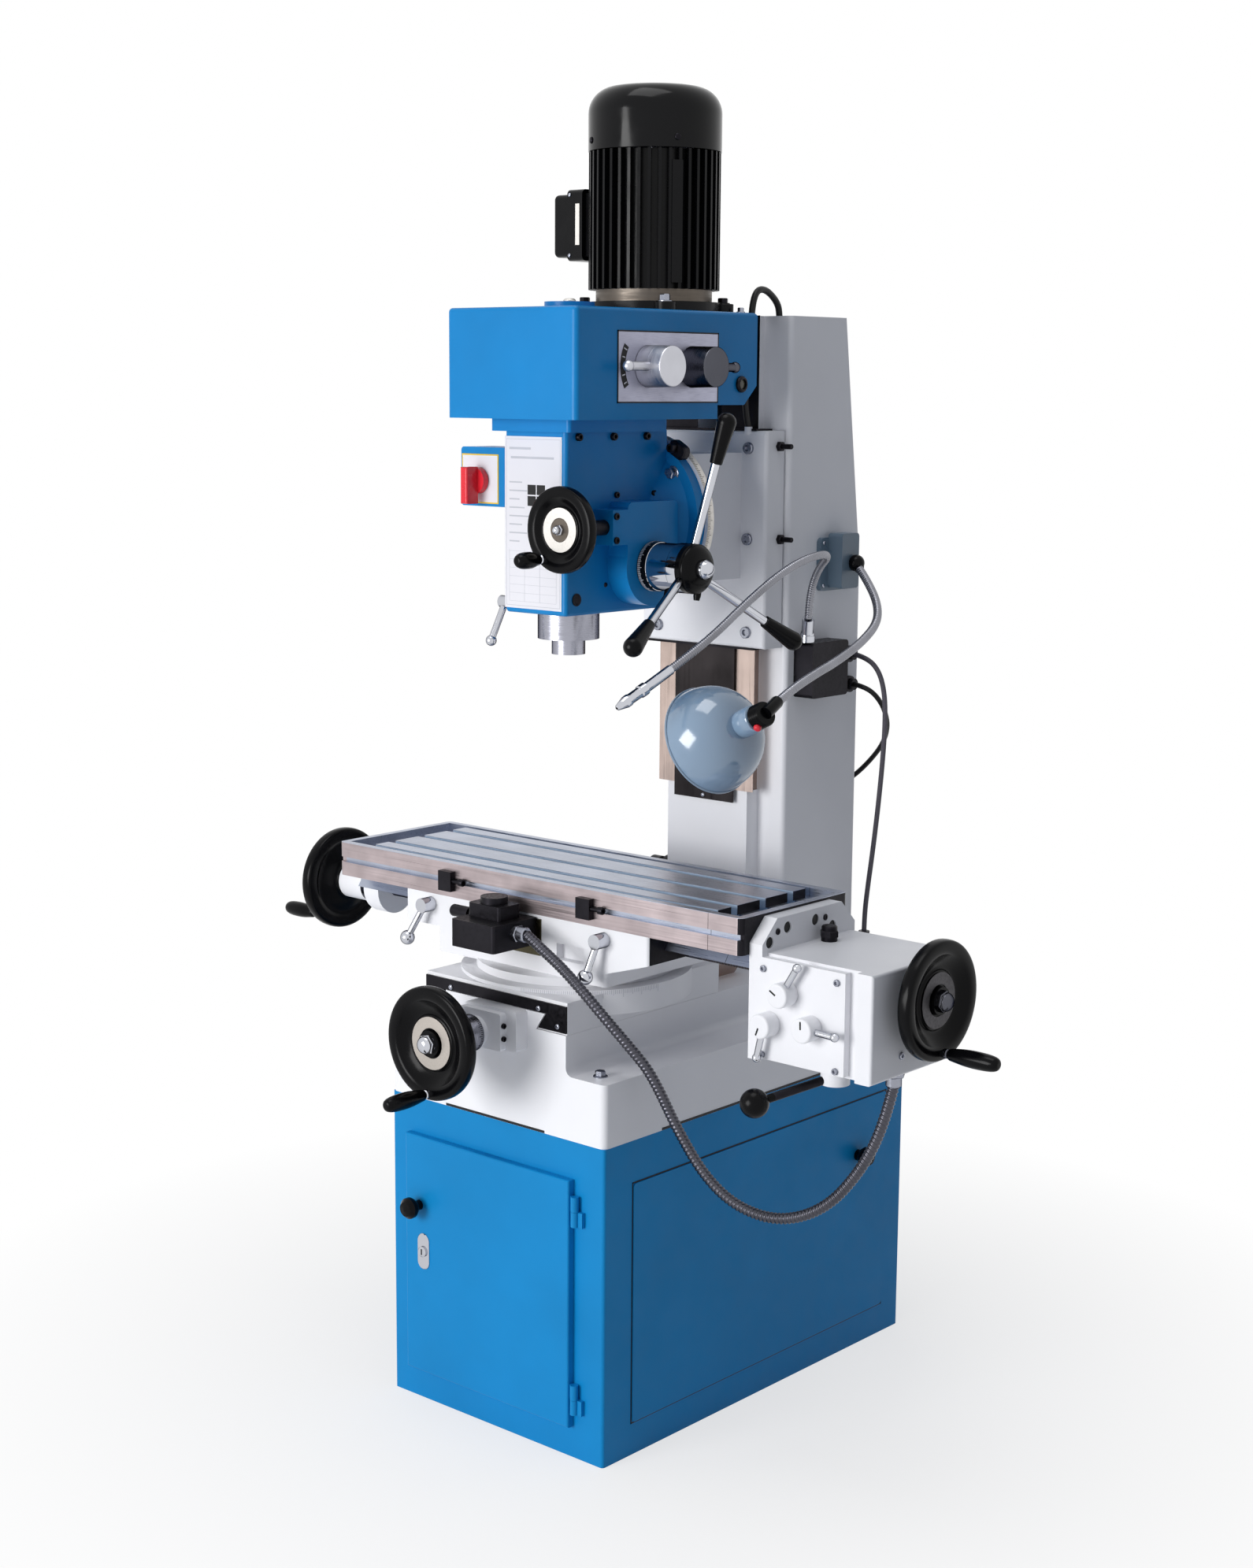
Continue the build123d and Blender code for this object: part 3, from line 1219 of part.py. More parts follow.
# Gear train: countershaft and the splined sleeve that drives the spindle
low_gear_z = 1502
high_gear_z = 1562
half_tooth = 180 / wheel_count
counter_wheel = toothed(
    Plane(origin=(0, counter_y, high_gear_z)), gear_module, wheel_count, gear_width, 0, phase=90 + half_tooth,
)
counter_pinion = toothed(
    Plane(origin=(0, counter_y, low_gear_z)), gear_module, pinion_count, gear_width, 0, phase=-90,
)
with BuildPart() as gear_shaft:
    add(counter_wheel)
    add(counter_pinion)
    rod((0, counter_y, inner_bottom - 7), (0, counter_y, inner_top + 7), hub_shaft_radius)
gear_shaft.part.label = "gear_shaft"
export_step(gear_shaft.part, "parts/gear_shaft.step")

sleeve_wheel = toothed(
    Plane(origin=(0, spindle_y, low_gear_z)), gear_module, wheel_count, gear_width,
    spline_radius + shaft_play, phase=90 + half_tooth,
)
with BuildPart() as spindle_gear:
    add(sleeve_wheel)
    rod((0, spindle_y, gearbox_bottom + 2), (0, spindle_y, high_gear_z - 10), 26)
    rod(
        (0, spindle_y, gearbox_bottom), (0, spindle_y, high_gear_z), spline_radius + shaft_play,
        mode=Mode.SUBTRACT,
    )
spindle_gear.part.label = "spindle_gear"
export_step(spindle_gear.part, "parts/spindle_gear.step")

# Motor: flange, neck and finned frame with a flat pad for the terminal box
motor_shaft_radius = 13
rotor_radius = 54
pad_x = 99
with BuildPart() as motor:
    rod((0, motor_y, gearbox_top), (0, motor_y, gearbox_top + 14), motor_flange_radius)
    rod((0, motor_y, gearbox_top + 14), (0, motor_y, motor_body_bottom), motor_neck_radius)
    rod((0, motor_y, motor_body_bottom), (0, motor_y, motor_body_top), motor_core_radius)
    with BuildSketch(Plane.XY.offset(motor_body_bottom)):
        with Locations((0, motor_y)):
            with PolarLocations((motor_core_radius + motor_fin_radius) / 2 - 2, motor_fins):
                Rectangle(motor_fin_radius - motor_core_radius + 4, 4.5)
    extrude(amount=motor_body_top - motor_body_bottom)
    block(-pad_x, 0, motor_y - 42, motor_y + 42, 1718, 1810)
    rod(
        (0, motor_y, gearbox_top + 22), (0, motor_y, motor_body_top - 14), rotor_radius + 1,
        mode=Mode.SUBTRACT,
    )
    rod(
        (0, motor_y, gearbox_top - 1), (0, motor_y, motor_body_top + 1), motor_shaft_radius + shaft_play,
        mode=Mode.SUBTRACT,
    )
motor.part.label = "motor"
export_step(motor.part, "parts/motor.step")

rotor_pinion = toothed(
    Plane(origin=(0, motor_y, high_gear_z - 2)), gear_module, pinion_count, gear_width + 4, 0, phase=-90,
)
with BuildPart() as motor_rotor:
    add(rotor_pinion)
    rod((0, motor_y, high_gear_z - 4), (0, motor_y, motor_body_top + 40), motor_shaft_radius)
    rod((0, motor_y, 1690), (0, motor_y, 1830), rotor_radius)
    rod((0, motor_y, motor_body_top + 14), (0, motor_y, motor_body_top + 20), 84)
    with Locations((0, motor_y, motor_body_top + 30)):
        with PolarLocations(50, 8):
            Box(56, 3, 22)
motor_rotor.part.label = "motor_rotor"
export_step(motor_rotor.part, "parts/motor_rotor.step")

# Fan cover: a thin domed cap on top of the motor
cap_sheet = 2.5
dome = (
    (fan_cover_radius, motor_body_top), (fan_cover_radius, fan_cover_top - 34),
    (fan_cover_radius - 8, fan_cover_top - 18), (fan_cover_radius - 24, fan_cover_top - 6),
    (fan_cover_radius - 46, fan_cover_top), (0, fan_cover_top),
    (0, fan_cover_top - cap_sheet), (fan_cover_radius - 46, fan_cover_top - cap_sheet),
    (fan_cover_radius - 25, fan_cover_top - 6 - cap_sheet),
    (fan_cover_radius - 8 - cap_sheet, fan_cover_top - 19),
    (fan_cover_radius - cap_sheet, fan_cover_top - 35), (fan_cover_radius - cap_sheet, motor_body_top),
)
fan_dome = turned((0, motor_y, 0), (0, 0, 1), dome)
with BuildPart() as fan_cover:
    add(fan_dome)
fan_cover.part.label = "fan_cover"
export_step(fan_cover.part, "parts/fan_cover.step")

# Terminal box on the motor's left side: base frame and rounded cover
with BuildPart() as terminal_box:
    block(-pad_x - 30, -pad_x, motor_y - 50, motor_y + 50, 1712, 1816)
    block(-pad_x - 64, -pad_x - 30, motor_y - 44, motor_y + 44, 1718, 1810)
    fillet(terminal_box.edges().filter_by(Axis.X), 8)
    fillet(terminal_box.faces().sort_by(Axis.X)[0].edges(), 6)
terminal_box.part.label = "terminal_box"
export_step(terminal_box.part, "parts/terminal_box.step")

# Speed knobs on the gearbox's right face
for speed_name, knob_y, outward in (
    ("speed_knob_front", speed_knob_front_y, -1), ("speed_knob_rear", speed_knob_rear_y, 1),
):
    knob_face = gearbox_half + turn_gap + 1
    rod_x = knob_face + 22
    with BuildPart() as speed_knob:
        rod((gearbox_half - gearbox_wall - 6, knob_y, speed_knob_z), (knob_face + 1, knob_y, speed_knob_z), 8)
        rod(
            (knob_face, knob_y, speed_knob_z), (knob_face + 45, knob_y, speed_knob_z), speed_knob_radius,
            end_radius=28.5,
        )
        fillet(speed_knob.edges().filter_by(GeomType.CIRCLE).sort_by(Axis.X)[-1], 2)
        add(ball_rod((rod_x, knob_y, speed_knob_z), (rod_x, knob_y + outward * 69, speed_knob_z), 6.5, 8))
    speed_knob.part.label = speed_name
    export_step(speed_knob.part, f"parts/{speed_name}.step")

# Switch box on the head's left side, with a rotary switch
switch_x = -112
switch_z = 1392
switch_front = -278
with BuildPart() as switch_box:
    block(-150, -head_half, switch_front, switch_front + 60, 1355, 1440)
    fillet(switch_box.edges().filter_by(Axis.Y), 5)
    rod(
        (switch_x, switch_front - 1, switch_z), (switch_x, switch_front + 20, switch_z), 4 + shaft_play,
        mode=Mode.SUBTRACT,
    )
switch_box.part.label = "switch_box"
export_step(switch_box.part, "parts/switch_box.step")

with BuildPart() as switch_knob:
    rod((switch_x, switch_front + 18, switch_z), (switch_x, switch_front - 2, switch_z), 4)
    rod((switch_x, switch_front - 2, switch_z), (switch_x, switch_front - 12, switch_z), 19)
    block(switch_x - 7, switch_x + 7, switch_front - 34, switch_front - 11, switch_z - 33, switch_z + 20)
    fillet(switch_knob.faces().sort_by(Axis.Y)[0].edges(), 3)
switch_knob.part.label = "switch_knob"
export_step(switch_knob.part, "parts/switch_knob.step")

# Lamp: box on the column, ball joint, gooseneck and shade with its bulb
with BuildPart() as lamp_base:
    block(column_half, 138, 215, 312, 1217, 1299)
    fillet(lamp_base.edges().filter_by(Axis.X), 8)
    block(138, 165, 234, 278, 1221, 1306)
    fillet(lamp_base.edges().filter_by(Axis.X).sort_by(Axis.X)[-4:], 6)
    add(ball_rod((150, 263, 1260), (171, 263, 1260), 10, 13))
    rod((173, 262, 1257), gooseneck_route[0], 8)
lamp_base.part.label = "lamp_base"
export_step(lamp_base.part, "parts/lamp_base.step")

gooseneck_tube = ribbed_tube("lamp_gooseneck", gooseneck_route, gooseneck_radius, 0.9, 5.5, (0.3, 0, 1), 4)
with BuildPart() as lamp_gooseneck:
    add(gooseneck_tube)
lamp_gooseneck.part.label = "lamp_gooseneck"
export_step(lamp_gooseneck.part, "parts/lamp_gooseneck.step")

shade_axis = Vector(-0.905, 0.13, -0.407).normalized()
socket_start = Vector(*gooseneck_route[-1])
shade_outline = (
    (0, 0), (9, 0), (9, 12), (17, 18), (17, 46), (36.8, 50.3), (54.3, 62.8), (67.2, 82), (74.1, 105.5),
    (75, 118), (77, 118), (77, 121), (73, 121), (71.1, 109.4), (64.4, 87.5), (51.6, 69.7), (34.5, 58),
    (15, 54), (0, 54),
)
neck_end = socket_start + Vector(0.05, -0.82, -0.4) * 20
lamp_origin = neck_end + shade_axis * 4
shade_shell = turned(lamp_origin, shade_axis, shade_outline)
bulb_origin = lamp_origin + shade_axis * 54
bulb = turned(
    bulb_origin, shade_axis,
    ((0, 0), (12, 0), (12, 12), (20, 24), (24, 36), (20, 48), (10, 55), (0, 57)),
)
with BuildPart() as lamp_shade:
    add(shade_shell)
    add(bulb)
    rod(gooseneck_route[-1], neck_end, 8)
    ball(neck_end, 10)
lamp_shade.part.label = "lamp_shade"
export_step(lamp_shade.part, "parts/lamp_shade.step")

# Coolant block on the column, with its fitting, and the jointed hose with its nozzle
with BuildPart() as coolant_block:
    block(column_half, 166, 162, 254, 1056, 1142)
    fillet(coolant_block.edges().filter_by(Axis.X), 6)
    rod((149, 170, 1142), (149, 170, 1152), 12)
    rod((149, 170, 1152), hose_route[0], 9)
    ball((149, 170, 1153), 11)
coolant_block.part.label = "coolant_block"
export_step(coolant_block.part, "parts/coolant_block.step")

hose_tube = ribbed_tube("coolant_hose", hose_route, hose_radius, 0.8, 6.5, (1, 0, 0.15), 3.5)
with BuildPart() as coolant_hose:
    add(hose_tube)
    rod(hose_route[-1], nozzle_tip, 9, end_radius=4)
    rod(hose_route[-1], (245, -398, 1094), 3, mode=Mode.SUBTRACT)
coolant_hose.part.label = "coolant_hose"
export_step(coolant_hose.part, "parts/coolant_hose.step")

# Cable glands on the column and the two cables between them
with BuildPart() as cable_glands:
    for gland_y, gland_z in ((299, 1113), (301, 1065)):
        rod((column_half, gland_y, gland_z), (138, gland_y, gland_z), 13)
        rod((138, gland_y, gland_z), (146, gland_y, gland_z), 9)
    block(column_half, 134, 302, 331, 626, 656)
    rod((134, 318, 640), (152, 318, 640), 9)
    ball((152, 320, 640), 10)
    rod((152, 320, 640), (152, 334, 648), 9)
    ball((152, 334, 648), 9)
    rod((152, 334, 648), (152, 334, 661), 9)
    rod((26, column_back, 865), (26, 342, 865), 12)
    rod((26, 341, 865), black_route[-1], 8)
cable_glands.part.label = "cable_glands"
export_step(cable_glands.part, "parts/cable_glands.step")

grey_tube = plain_tube("grey_cable", grey_route, cable_radius)
with BuildPart() as grey_cable:
    add(grey_tube)
grey_cable.part.label = "grey_cable"
export_step(grey_cable.part, "parts/grey_cable.step")

black_tube = plain_tube("black_cable", black_route, cable_radius)
with BuildPart() as black_cable:
    add(black_tube)
black_cable.part.label = "black_cable"
export_step(black_cable.part, "parts/black_cable.step")

motor_tube = plain_tube("motor_cable", motor_cable_route, motor_cable_radius)
with BuildPart() as motor_cable:
    add(motor_tube)
motor_cable.part.label = "motor_cable"
export_step(motor_cable.part, "parts/motor_cable.step")

# Conduit from the trip switch to the feed gearbox, with a gland at each end
conduit_tube = ribbed_tube("conduit", conduit_route, conduit_radius, 1.0, 7, (-0.24, 0.97, 0), 6)
with BuildPart() as conduit:
    add(conduit_tube)
    rod((30, -351, 754), conduit_route[0], 11)
    rod((586, -200, feed_bottom), conduit_route[-1], 12)
conduit.part.label = "conduit"
export_step(conduit.part, "parts/conduit.step")
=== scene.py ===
# %% [markdown]
# # Dressing a mill drill
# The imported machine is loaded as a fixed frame: every casting, shaft and knob stands where it belongs.
# This notebook adds what a CAD model leaves out: paint, plating, ground steel, hoses, scales and screws.
# Lengths are written in millimetres, as on a workshop drawing, and turned into metres in one place.

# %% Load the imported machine
import json
from math import cos, pi, radians, sin

import bmesh
import bpy
import numpy as np
from mathutils import Matrix
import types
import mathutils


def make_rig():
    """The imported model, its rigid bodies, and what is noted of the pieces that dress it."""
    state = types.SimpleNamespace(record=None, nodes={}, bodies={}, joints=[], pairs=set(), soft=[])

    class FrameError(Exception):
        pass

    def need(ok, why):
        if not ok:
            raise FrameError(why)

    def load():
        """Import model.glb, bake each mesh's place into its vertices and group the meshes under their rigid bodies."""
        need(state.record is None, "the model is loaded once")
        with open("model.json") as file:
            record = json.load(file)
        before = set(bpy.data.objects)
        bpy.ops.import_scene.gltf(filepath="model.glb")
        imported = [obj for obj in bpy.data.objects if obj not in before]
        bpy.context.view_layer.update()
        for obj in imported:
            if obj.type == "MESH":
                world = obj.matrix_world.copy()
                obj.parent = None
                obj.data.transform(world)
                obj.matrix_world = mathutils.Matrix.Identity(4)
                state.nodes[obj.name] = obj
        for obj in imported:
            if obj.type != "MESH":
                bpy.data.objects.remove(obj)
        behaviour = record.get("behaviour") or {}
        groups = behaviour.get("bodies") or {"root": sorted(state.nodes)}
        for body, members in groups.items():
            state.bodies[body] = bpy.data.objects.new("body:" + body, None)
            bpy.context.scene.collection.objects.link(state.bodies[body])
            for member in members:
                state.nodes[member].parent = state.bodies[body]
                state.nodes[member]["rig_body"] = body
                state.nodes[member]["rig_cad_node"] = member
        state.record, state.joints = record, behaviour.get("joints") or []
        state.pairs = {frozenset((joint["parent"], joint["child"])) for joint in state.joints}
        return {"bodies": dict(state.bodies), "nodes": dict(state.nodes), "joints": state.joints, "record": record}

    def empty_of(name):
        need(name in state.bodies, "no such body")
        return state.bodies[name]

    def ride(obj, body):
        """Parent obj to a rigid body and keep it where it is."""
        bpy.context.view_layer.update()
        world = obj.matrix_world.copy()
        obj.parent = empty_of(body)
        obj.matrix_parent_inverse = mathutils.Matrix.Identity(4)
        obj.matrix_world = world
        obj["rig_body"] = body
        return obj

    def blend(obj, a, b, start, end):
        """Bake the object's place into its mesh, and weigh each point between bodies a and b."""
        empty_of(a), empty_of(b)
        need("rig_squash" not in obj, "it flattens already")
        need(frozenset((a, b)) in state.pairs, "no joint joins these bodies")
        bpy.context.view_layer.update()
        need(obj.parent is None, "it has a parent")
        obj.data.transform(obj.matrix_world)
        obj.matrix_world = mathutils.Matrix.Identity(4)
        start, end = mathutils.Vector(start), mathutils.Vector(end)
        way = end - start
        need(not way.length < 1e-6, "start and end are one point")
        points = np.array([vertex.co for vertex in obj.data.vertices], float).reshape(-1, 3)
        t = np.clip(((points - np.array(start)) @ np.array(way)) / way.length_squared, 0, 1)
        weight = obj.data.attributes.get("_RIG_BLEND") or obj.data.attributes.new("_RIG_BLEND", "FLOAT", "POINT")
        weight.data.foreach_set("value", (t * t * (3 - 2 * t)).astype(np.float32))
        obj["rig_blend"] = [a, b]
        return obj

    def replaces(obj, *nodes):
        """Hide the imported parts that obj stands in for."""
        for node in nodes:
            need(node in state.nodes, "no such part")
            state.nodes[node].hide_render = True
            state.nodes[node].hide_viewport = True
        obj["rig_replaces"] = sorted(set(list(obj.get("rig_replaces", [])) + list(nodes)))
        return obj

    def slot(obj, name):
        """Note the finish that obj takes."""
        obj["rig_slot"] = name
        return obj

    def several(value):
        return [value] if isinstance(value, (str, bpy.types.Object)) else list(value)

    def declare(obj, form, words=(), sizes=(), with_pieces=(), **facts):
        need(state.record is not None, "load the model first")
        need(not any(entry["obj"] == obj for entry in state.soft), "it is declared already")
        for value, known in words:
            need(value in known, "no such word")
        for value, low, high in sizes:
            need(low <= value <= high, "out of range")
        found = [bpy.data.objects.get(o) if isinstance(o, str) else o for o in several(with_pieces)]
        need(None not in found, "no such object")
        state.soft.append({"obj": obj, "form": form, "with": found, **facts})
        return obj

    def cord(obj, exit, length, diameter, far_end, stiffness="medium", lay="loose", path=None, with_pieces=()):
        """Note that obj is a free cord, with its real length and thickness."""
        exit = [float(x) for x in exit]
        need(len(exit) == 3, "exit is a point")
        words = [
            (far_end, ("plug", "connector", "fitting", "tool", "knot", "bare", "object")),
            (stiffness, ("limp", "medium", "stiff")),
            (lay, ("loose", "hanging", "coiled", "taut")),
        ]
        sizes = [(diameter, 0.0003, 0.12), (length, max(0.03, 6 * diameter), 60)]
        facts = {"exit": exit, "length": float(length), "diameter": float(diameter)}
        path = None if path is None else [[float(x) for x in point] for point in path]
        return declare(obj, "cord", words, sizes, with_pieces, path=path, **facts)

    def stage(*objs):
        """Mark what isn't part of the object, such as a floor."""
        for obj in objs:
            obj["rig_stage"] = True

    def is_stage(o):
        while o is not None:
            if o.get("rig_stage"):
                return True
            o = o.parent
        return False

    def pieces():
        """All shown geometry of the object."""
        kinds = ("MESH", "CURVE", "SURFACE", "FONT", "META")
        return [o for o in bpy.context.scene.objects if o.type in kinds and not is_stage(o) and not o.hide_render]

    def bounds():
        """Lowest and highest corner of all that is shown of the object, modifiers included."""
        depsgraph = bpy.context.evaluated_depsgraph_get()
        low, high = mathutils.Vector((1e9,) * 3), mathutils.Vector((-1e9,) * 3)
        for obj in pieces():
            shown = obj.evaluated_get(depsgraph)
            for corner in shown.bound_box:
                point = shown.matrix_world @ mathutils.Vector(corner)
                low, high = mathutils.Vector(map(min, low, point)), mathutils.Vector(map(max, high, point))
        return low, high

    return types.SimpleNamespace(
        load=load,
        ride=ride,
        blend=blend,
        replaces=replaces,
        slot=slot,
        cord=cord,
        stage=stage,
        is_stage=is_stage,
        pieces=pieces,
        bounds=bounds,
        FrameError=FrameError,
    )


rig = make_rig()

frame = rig.load()
cad_low, cad_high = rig.bounds()
scene = bpy.context.scene
scene.view_settings.view_transform = "Standard"
mm = 0.001
print("nodes", len(frame["nodes"]), "bodies", len(frame["bodies"]))

# %% [markdown]
# ## Camera
# The photograph was taken from the right front, level with the head and tilted down, with a normal lens.
# The camera's axes are worked out from its heading, its tilt and a slight lean, and go into its matrix.

# %% Camera
def stand_up(thing, x, y, z, place):
    """Link an object to the scene, with these axes, at a place in metres."""
    axes = np.eye(4)
    axes[:3] = np.c_[x, y, z, place]
    thing.matrix_world = Matrix(axes.tolist())
    scene.collection.objects.link(thing)


heading, tilt, lean = radians(41.26), radians(9.51), radians(0.41)
camera_place = (2.3493, -2.7565, 1.5309)
sensor_mm, focal_pixels, picture_pixels = 36, 3029.9, 1991
back = np.array([sin(heading) * cos(tilt), -cos(heading) * cos(tilt), sin(tilt)])
level = np.array([cos(heading), sin(heading), 0.0])
upright = np.cross(back, level)
right = cos(lean) * level + sin(lean) * upright
above = cos(lean) * upright - sin(lean) * level
camera = bpy.data.objects.new("camera", bpy.data.cameras.new("camera"))
camera.data.sensor_fit = "VERTICAL"
camera.data.sensor_height = sensor_mm
camera.data.lens = sensor_mm * focal_pixels / picture_pixels
stand_up(camera, right, above, back, camera_place)
scene.camera = camera
print("lens", round(camera.data.lens, 1), "mm")

# %% [markdown]
# ## Shapes as arrays
# A surface is a grid of points, worked out as one array: a turned piece is a profile carried round an axis,
# a hose is a circle carried along a line, and a plate is an outline carried through its thickness.
# A shape is a pair: its points, and its faces as arrays of point numbers.

# %% Surface helpers
def unit(vectors):
    """Vectors divided by their own length."""
    return vectors / np.linalg.norm(vectors, axis=-1, keepdims=True)


def skin(rows):
    """A grid's faces: each square of neighbours is one, and the last column joins the first."""
    number = np.arange(rows.shape[0] * rows.shape[1]).reshape(rows.shape[:2])
    number = np.concatenate([number, number[:, :1]], axis=1)
    corners = [number[:-1, :-1], number[:-1, 1:], number[1:, 1:], number[1:, :-1]]
    return rows.reshape(-1, 3), [np.stack(corners, -1).reshape(-1, 4)]


def soften(profile, times=2):
    """A profile with its corners cut: each run keeps the points a quarter and three quarters along it."""
    line = np.array(profile, float)
    for _ in range(times):
        near, far = line[:-1], line[1:]
        cut = np.stack([0.75 * near + 0.25 * far, 0.25 * near + 0.75 * far], 1).reshape(-1, 2)
        line = np.concatenate([line[:1], cut, line[-1:]])
    return line


def lathe(profile, around):
    """A turned surface on +Z: each (radius, height) becomes a ring, radius times cosine and sine."""
    line = np.array(profile, float)
    angle = np.arange(around) * 2 * pi / around
    rows = np.empty((len(line), around, 3))
    rows[..., 0] = line[:, :1] * np.cos(angle)
    rows[..., 1] = line[:, :1] * np.sin(angle)
    rows[..., 2] = line[:, 1:]
    return skin(rows)


def slab(outline, thickness, bevel=0.0):
    """A plate: its outline at the foot, at the bevel's start and, drawn in, at the top; closed."""
    line = np.array(outline, float)
    middle = (line.min(0) + line.max(0)) / 2
    size = np.maximum(line.max(0) - line.min(0), 1e-6)
    inner = middle + (line - middle) * (1 - 2 * bevel / size)
    count = len(line)
    rows = [np.c_[line, np.zeros(count)], np.c_[line, np.full(count, thickness - bevel)]]
    if bevel:
        rows.append(np.c_[inner, np.full(count, thickness)])
    points, faces = skin(np.array(rows))
    ends = np.arange(count)
    return points, faces + [ends[None, ::-1], ends[None] + count * (len(rows) - 1)]


def rounded(width, height, corner, steps=6):
    """A rectangle's outline with quarter circles at its corners."""
    turn = np.linspace(0, pi / 2, steps)
    places = ((1, 1, 0), (-1, 1, 1), (-1, -1, 2), (1, -1, 3))
    return np.concatenate([
        np.c_[sx * (width / 2 - corner) + corner * np.cos(turn + q * pi / 2),
              sy * (height / 2 - corner) + corner * np.sin(turn + q * pi / 2)]
        for sx, sy, q in places
    ])


def ring_plate(inner, outer, thickness, start=0.0, end=360.0, around=64):
    """A flat ring, or a part of one: four edge circles carried round from start to end, in degrees."""
    whole = end - start >= 360
    angle = np.radians(np.linspace(start, end, around, endpoint=not whole))
    edges = ((inner, 0), (outer, 0), (outer, thickness), (inner, thickness))
    rows = np.array([np.c_[r * np.cos(angle), r * np.sin(angle), np.full(around, h)] for r, h in edges])
    if whole:
        return skin(np.concatenate([rows, rows[:1]]))
    points, faces = skin(rows.transpose(1, 0, 2))
    last = (around - 1) * 4
    return points, faces + [np.array([[3, 2, 1, 0]]), np.array([[last, last + 1, last + 2, last + 3]])]


def seat(shape, place, axis=(0, 0, 1), spin=0.0):
    """A shape with its +Z turned along an axis, spun about it in degrees, and set at a place."""
    z = unit(np.array(axis, float))
    x = unit(np.cross([0, 0, 1] if abs(z[2]) < 0.9 else [0, 1, 0], z))
    y = np.cross(z, x)
    c, s = cos(radians(spin)), sin(radians(spin))
    points, faces = shape
    turned = points @ np.array([c * x + s * y, c * y - s * x, z])
    return turned + np.array(place, float), faces


def copies(shape, places, axis, spin=0.0):
    """The same shape seated at several places."""
    return [seat(shape, place, axis, spin) for place in places]


def merge(*shapes):
    """Several shapes as one: their points in a row, and their faces counted on."""
    points, faces, start = [], [], 0
    for shape_points, blocks in shapes:
        points.append(shape_points)
        faces += [block + start for block in blocks]
        start += len(shape_points)
    return np.concatenate(points), faces


def bars(places, thickness):
    """Flat bars, one for each row of left, foot, right and top: eight corners each, thickness high."""
    edge = np.array(places, float)
    x, y = edge[:, [0, 2, 2, 0]], edge[:, [1, 1, 3, 3]]
    foot = np.stack([x, y, np.zeros_like(x)], -1)
    corners = np.concatenate([foot, foot + [0, 0, thickness]], 1)
    sides = np.array([[3, 2, 1, 0], [4, 5, 6, 7], [0, 1, 5, 4], [1, 2, 6, 5], [2, 3, 7, 6], [3, 0, 4, 7]])
    faces = sides + 8 * np.arange(len(edge))[:, None, None]
    return corners.reshape(-1, 3), [faces.reshape(-1, 4)]


def dial_marks(radius, top, first, last, step, lengths, width=0.9):
    """Bars that hang from a height, every step of degrees round a radius; fifths and tenths are longer.
    The row is made flat and rolled up: x becomes the arc and z the distance out."""
    angle = np.arange(first, last + step / 2, step)
    count = np.arange(len(angle))
    length = np.where(count % 10 == 0, lengths[2], np.where(count % 5 == 0, lengths[1], lengths[0]))
    at = np.radians(angle) * radius
    flat, faces = bars(np.c_[at - width / 2, top - length, at + width / 2, np.full(len(at), top)], 0.2)
    turn, out = flat[:, 0] / radius, radius + flat[:, 2]
    return np.stack([out * np.cos(turn), out * np.sin(turn), flat[:, 1]], 1), faces


# %% [markdown]
# Screws are small but there are many of them, and they catch the light, so each kind is a real little shape:
# a hexagon head on its washer, a cap screw with a sunk socket, and a round head.

# %% Screws, pegs and discs
def hexagon(radius):
    """Six corners on a circle."""
    corner = np.arange(6) * pi / 3
    return np.c_[radius * np.cos(corner), radius * np.sin(corner)]


def peg(radius, shoulder, tip, height, around=28, times=0):
    """A short cylinder that narrows from its shoulder's height to its tip; times softens its corners."""
    profile = [(0, 0), (radius, 0), (radius, shoulder), (tip, height), (0, height)]
    return lathe(soften(profile, times), around)


def hex_bolt(radius, height):
    """A hexagon head on a washer, its upper edge chamfered."""
    washer = peg(1.3 * radius, 1.2, 1.2 * radius, 1.6, 24)
    return merge(washer, seat(slab(hexagon(radius), height, 0.15 * height), (0, 0, 1.5)))


def socket_screw(radius, height):
    """A cap screw: a turned head with a socket sunk into it."""
    share = [(0, 0), (1, 0), (1, 0.85), (0.9, 1), (0.52, 1), (0.5, 0.4), (0, 0.4)]
    return lathe(np.array(share) * (radius, height), 20)


def dome_screw(radius, height):
    """A round-headed screw."""
    return peg(radius, 0.4 * height, 0.7 * radius, height, 20, 2)


def disc(radius, height, around=28):
    """A plain short cylinder."""
    return lathe([(0, 0), (radius, 0), (radius, height), (0, height)], around)


# %% [markdown]
# ## From arrays to pieces
# One function joins the shapes of a piece into a mesh, in metres, at the origin, and makes it ride on a body.
# Doubles are merged so that poles and seams are closed, and normals are then made to point outwards.

# %% Piece maker
slot_of = {}


def piece(name, body, finish, *shapes, crease=32, instead_of=None):
    """One mesh object from several shapes; edges sharper than crease, in degrees, stay sharp.
    It may be shown instead of a solid."""
    points, blocks = merge(*shapes)
    mesh = bpy.data.meshes.new(name)
    mesh.from_pydata((points * mm).tolist(), [], [face for block in blocks for face in block.tolist()])
    bm = bmesh.new()
    bm.from_mesh(mesh)
    bmesh.ops.remove_doubles(bm, verts=bm.verts, dist=1e-7)
    bmesh.ops.dissolve_degenerate(bm, edges=bm.edges, dist=1e-8)
    bmesh.ops.recalc_face_normals(bm, faces=bm.faces)
    bm.to_mesh(mesh)
    bm.free()
    mesh.polygons.foreach_set("use_smooth", np.ones(len(mesh.polygons), bool))
    mesh.set_sharp_from_angle(angle=radians(crease))
    mesh.materials.append(finish)
    made = bpy.data.objects.new(name, mesh)
    scene.collection.objects.link(made)
    if body:
        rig.ride(made, body)
    if finish.name in slot_of:
        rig.slot(made, slot_of[finish.name])
    if instead_of:
        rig.replaces(made, instead_of)
    return made


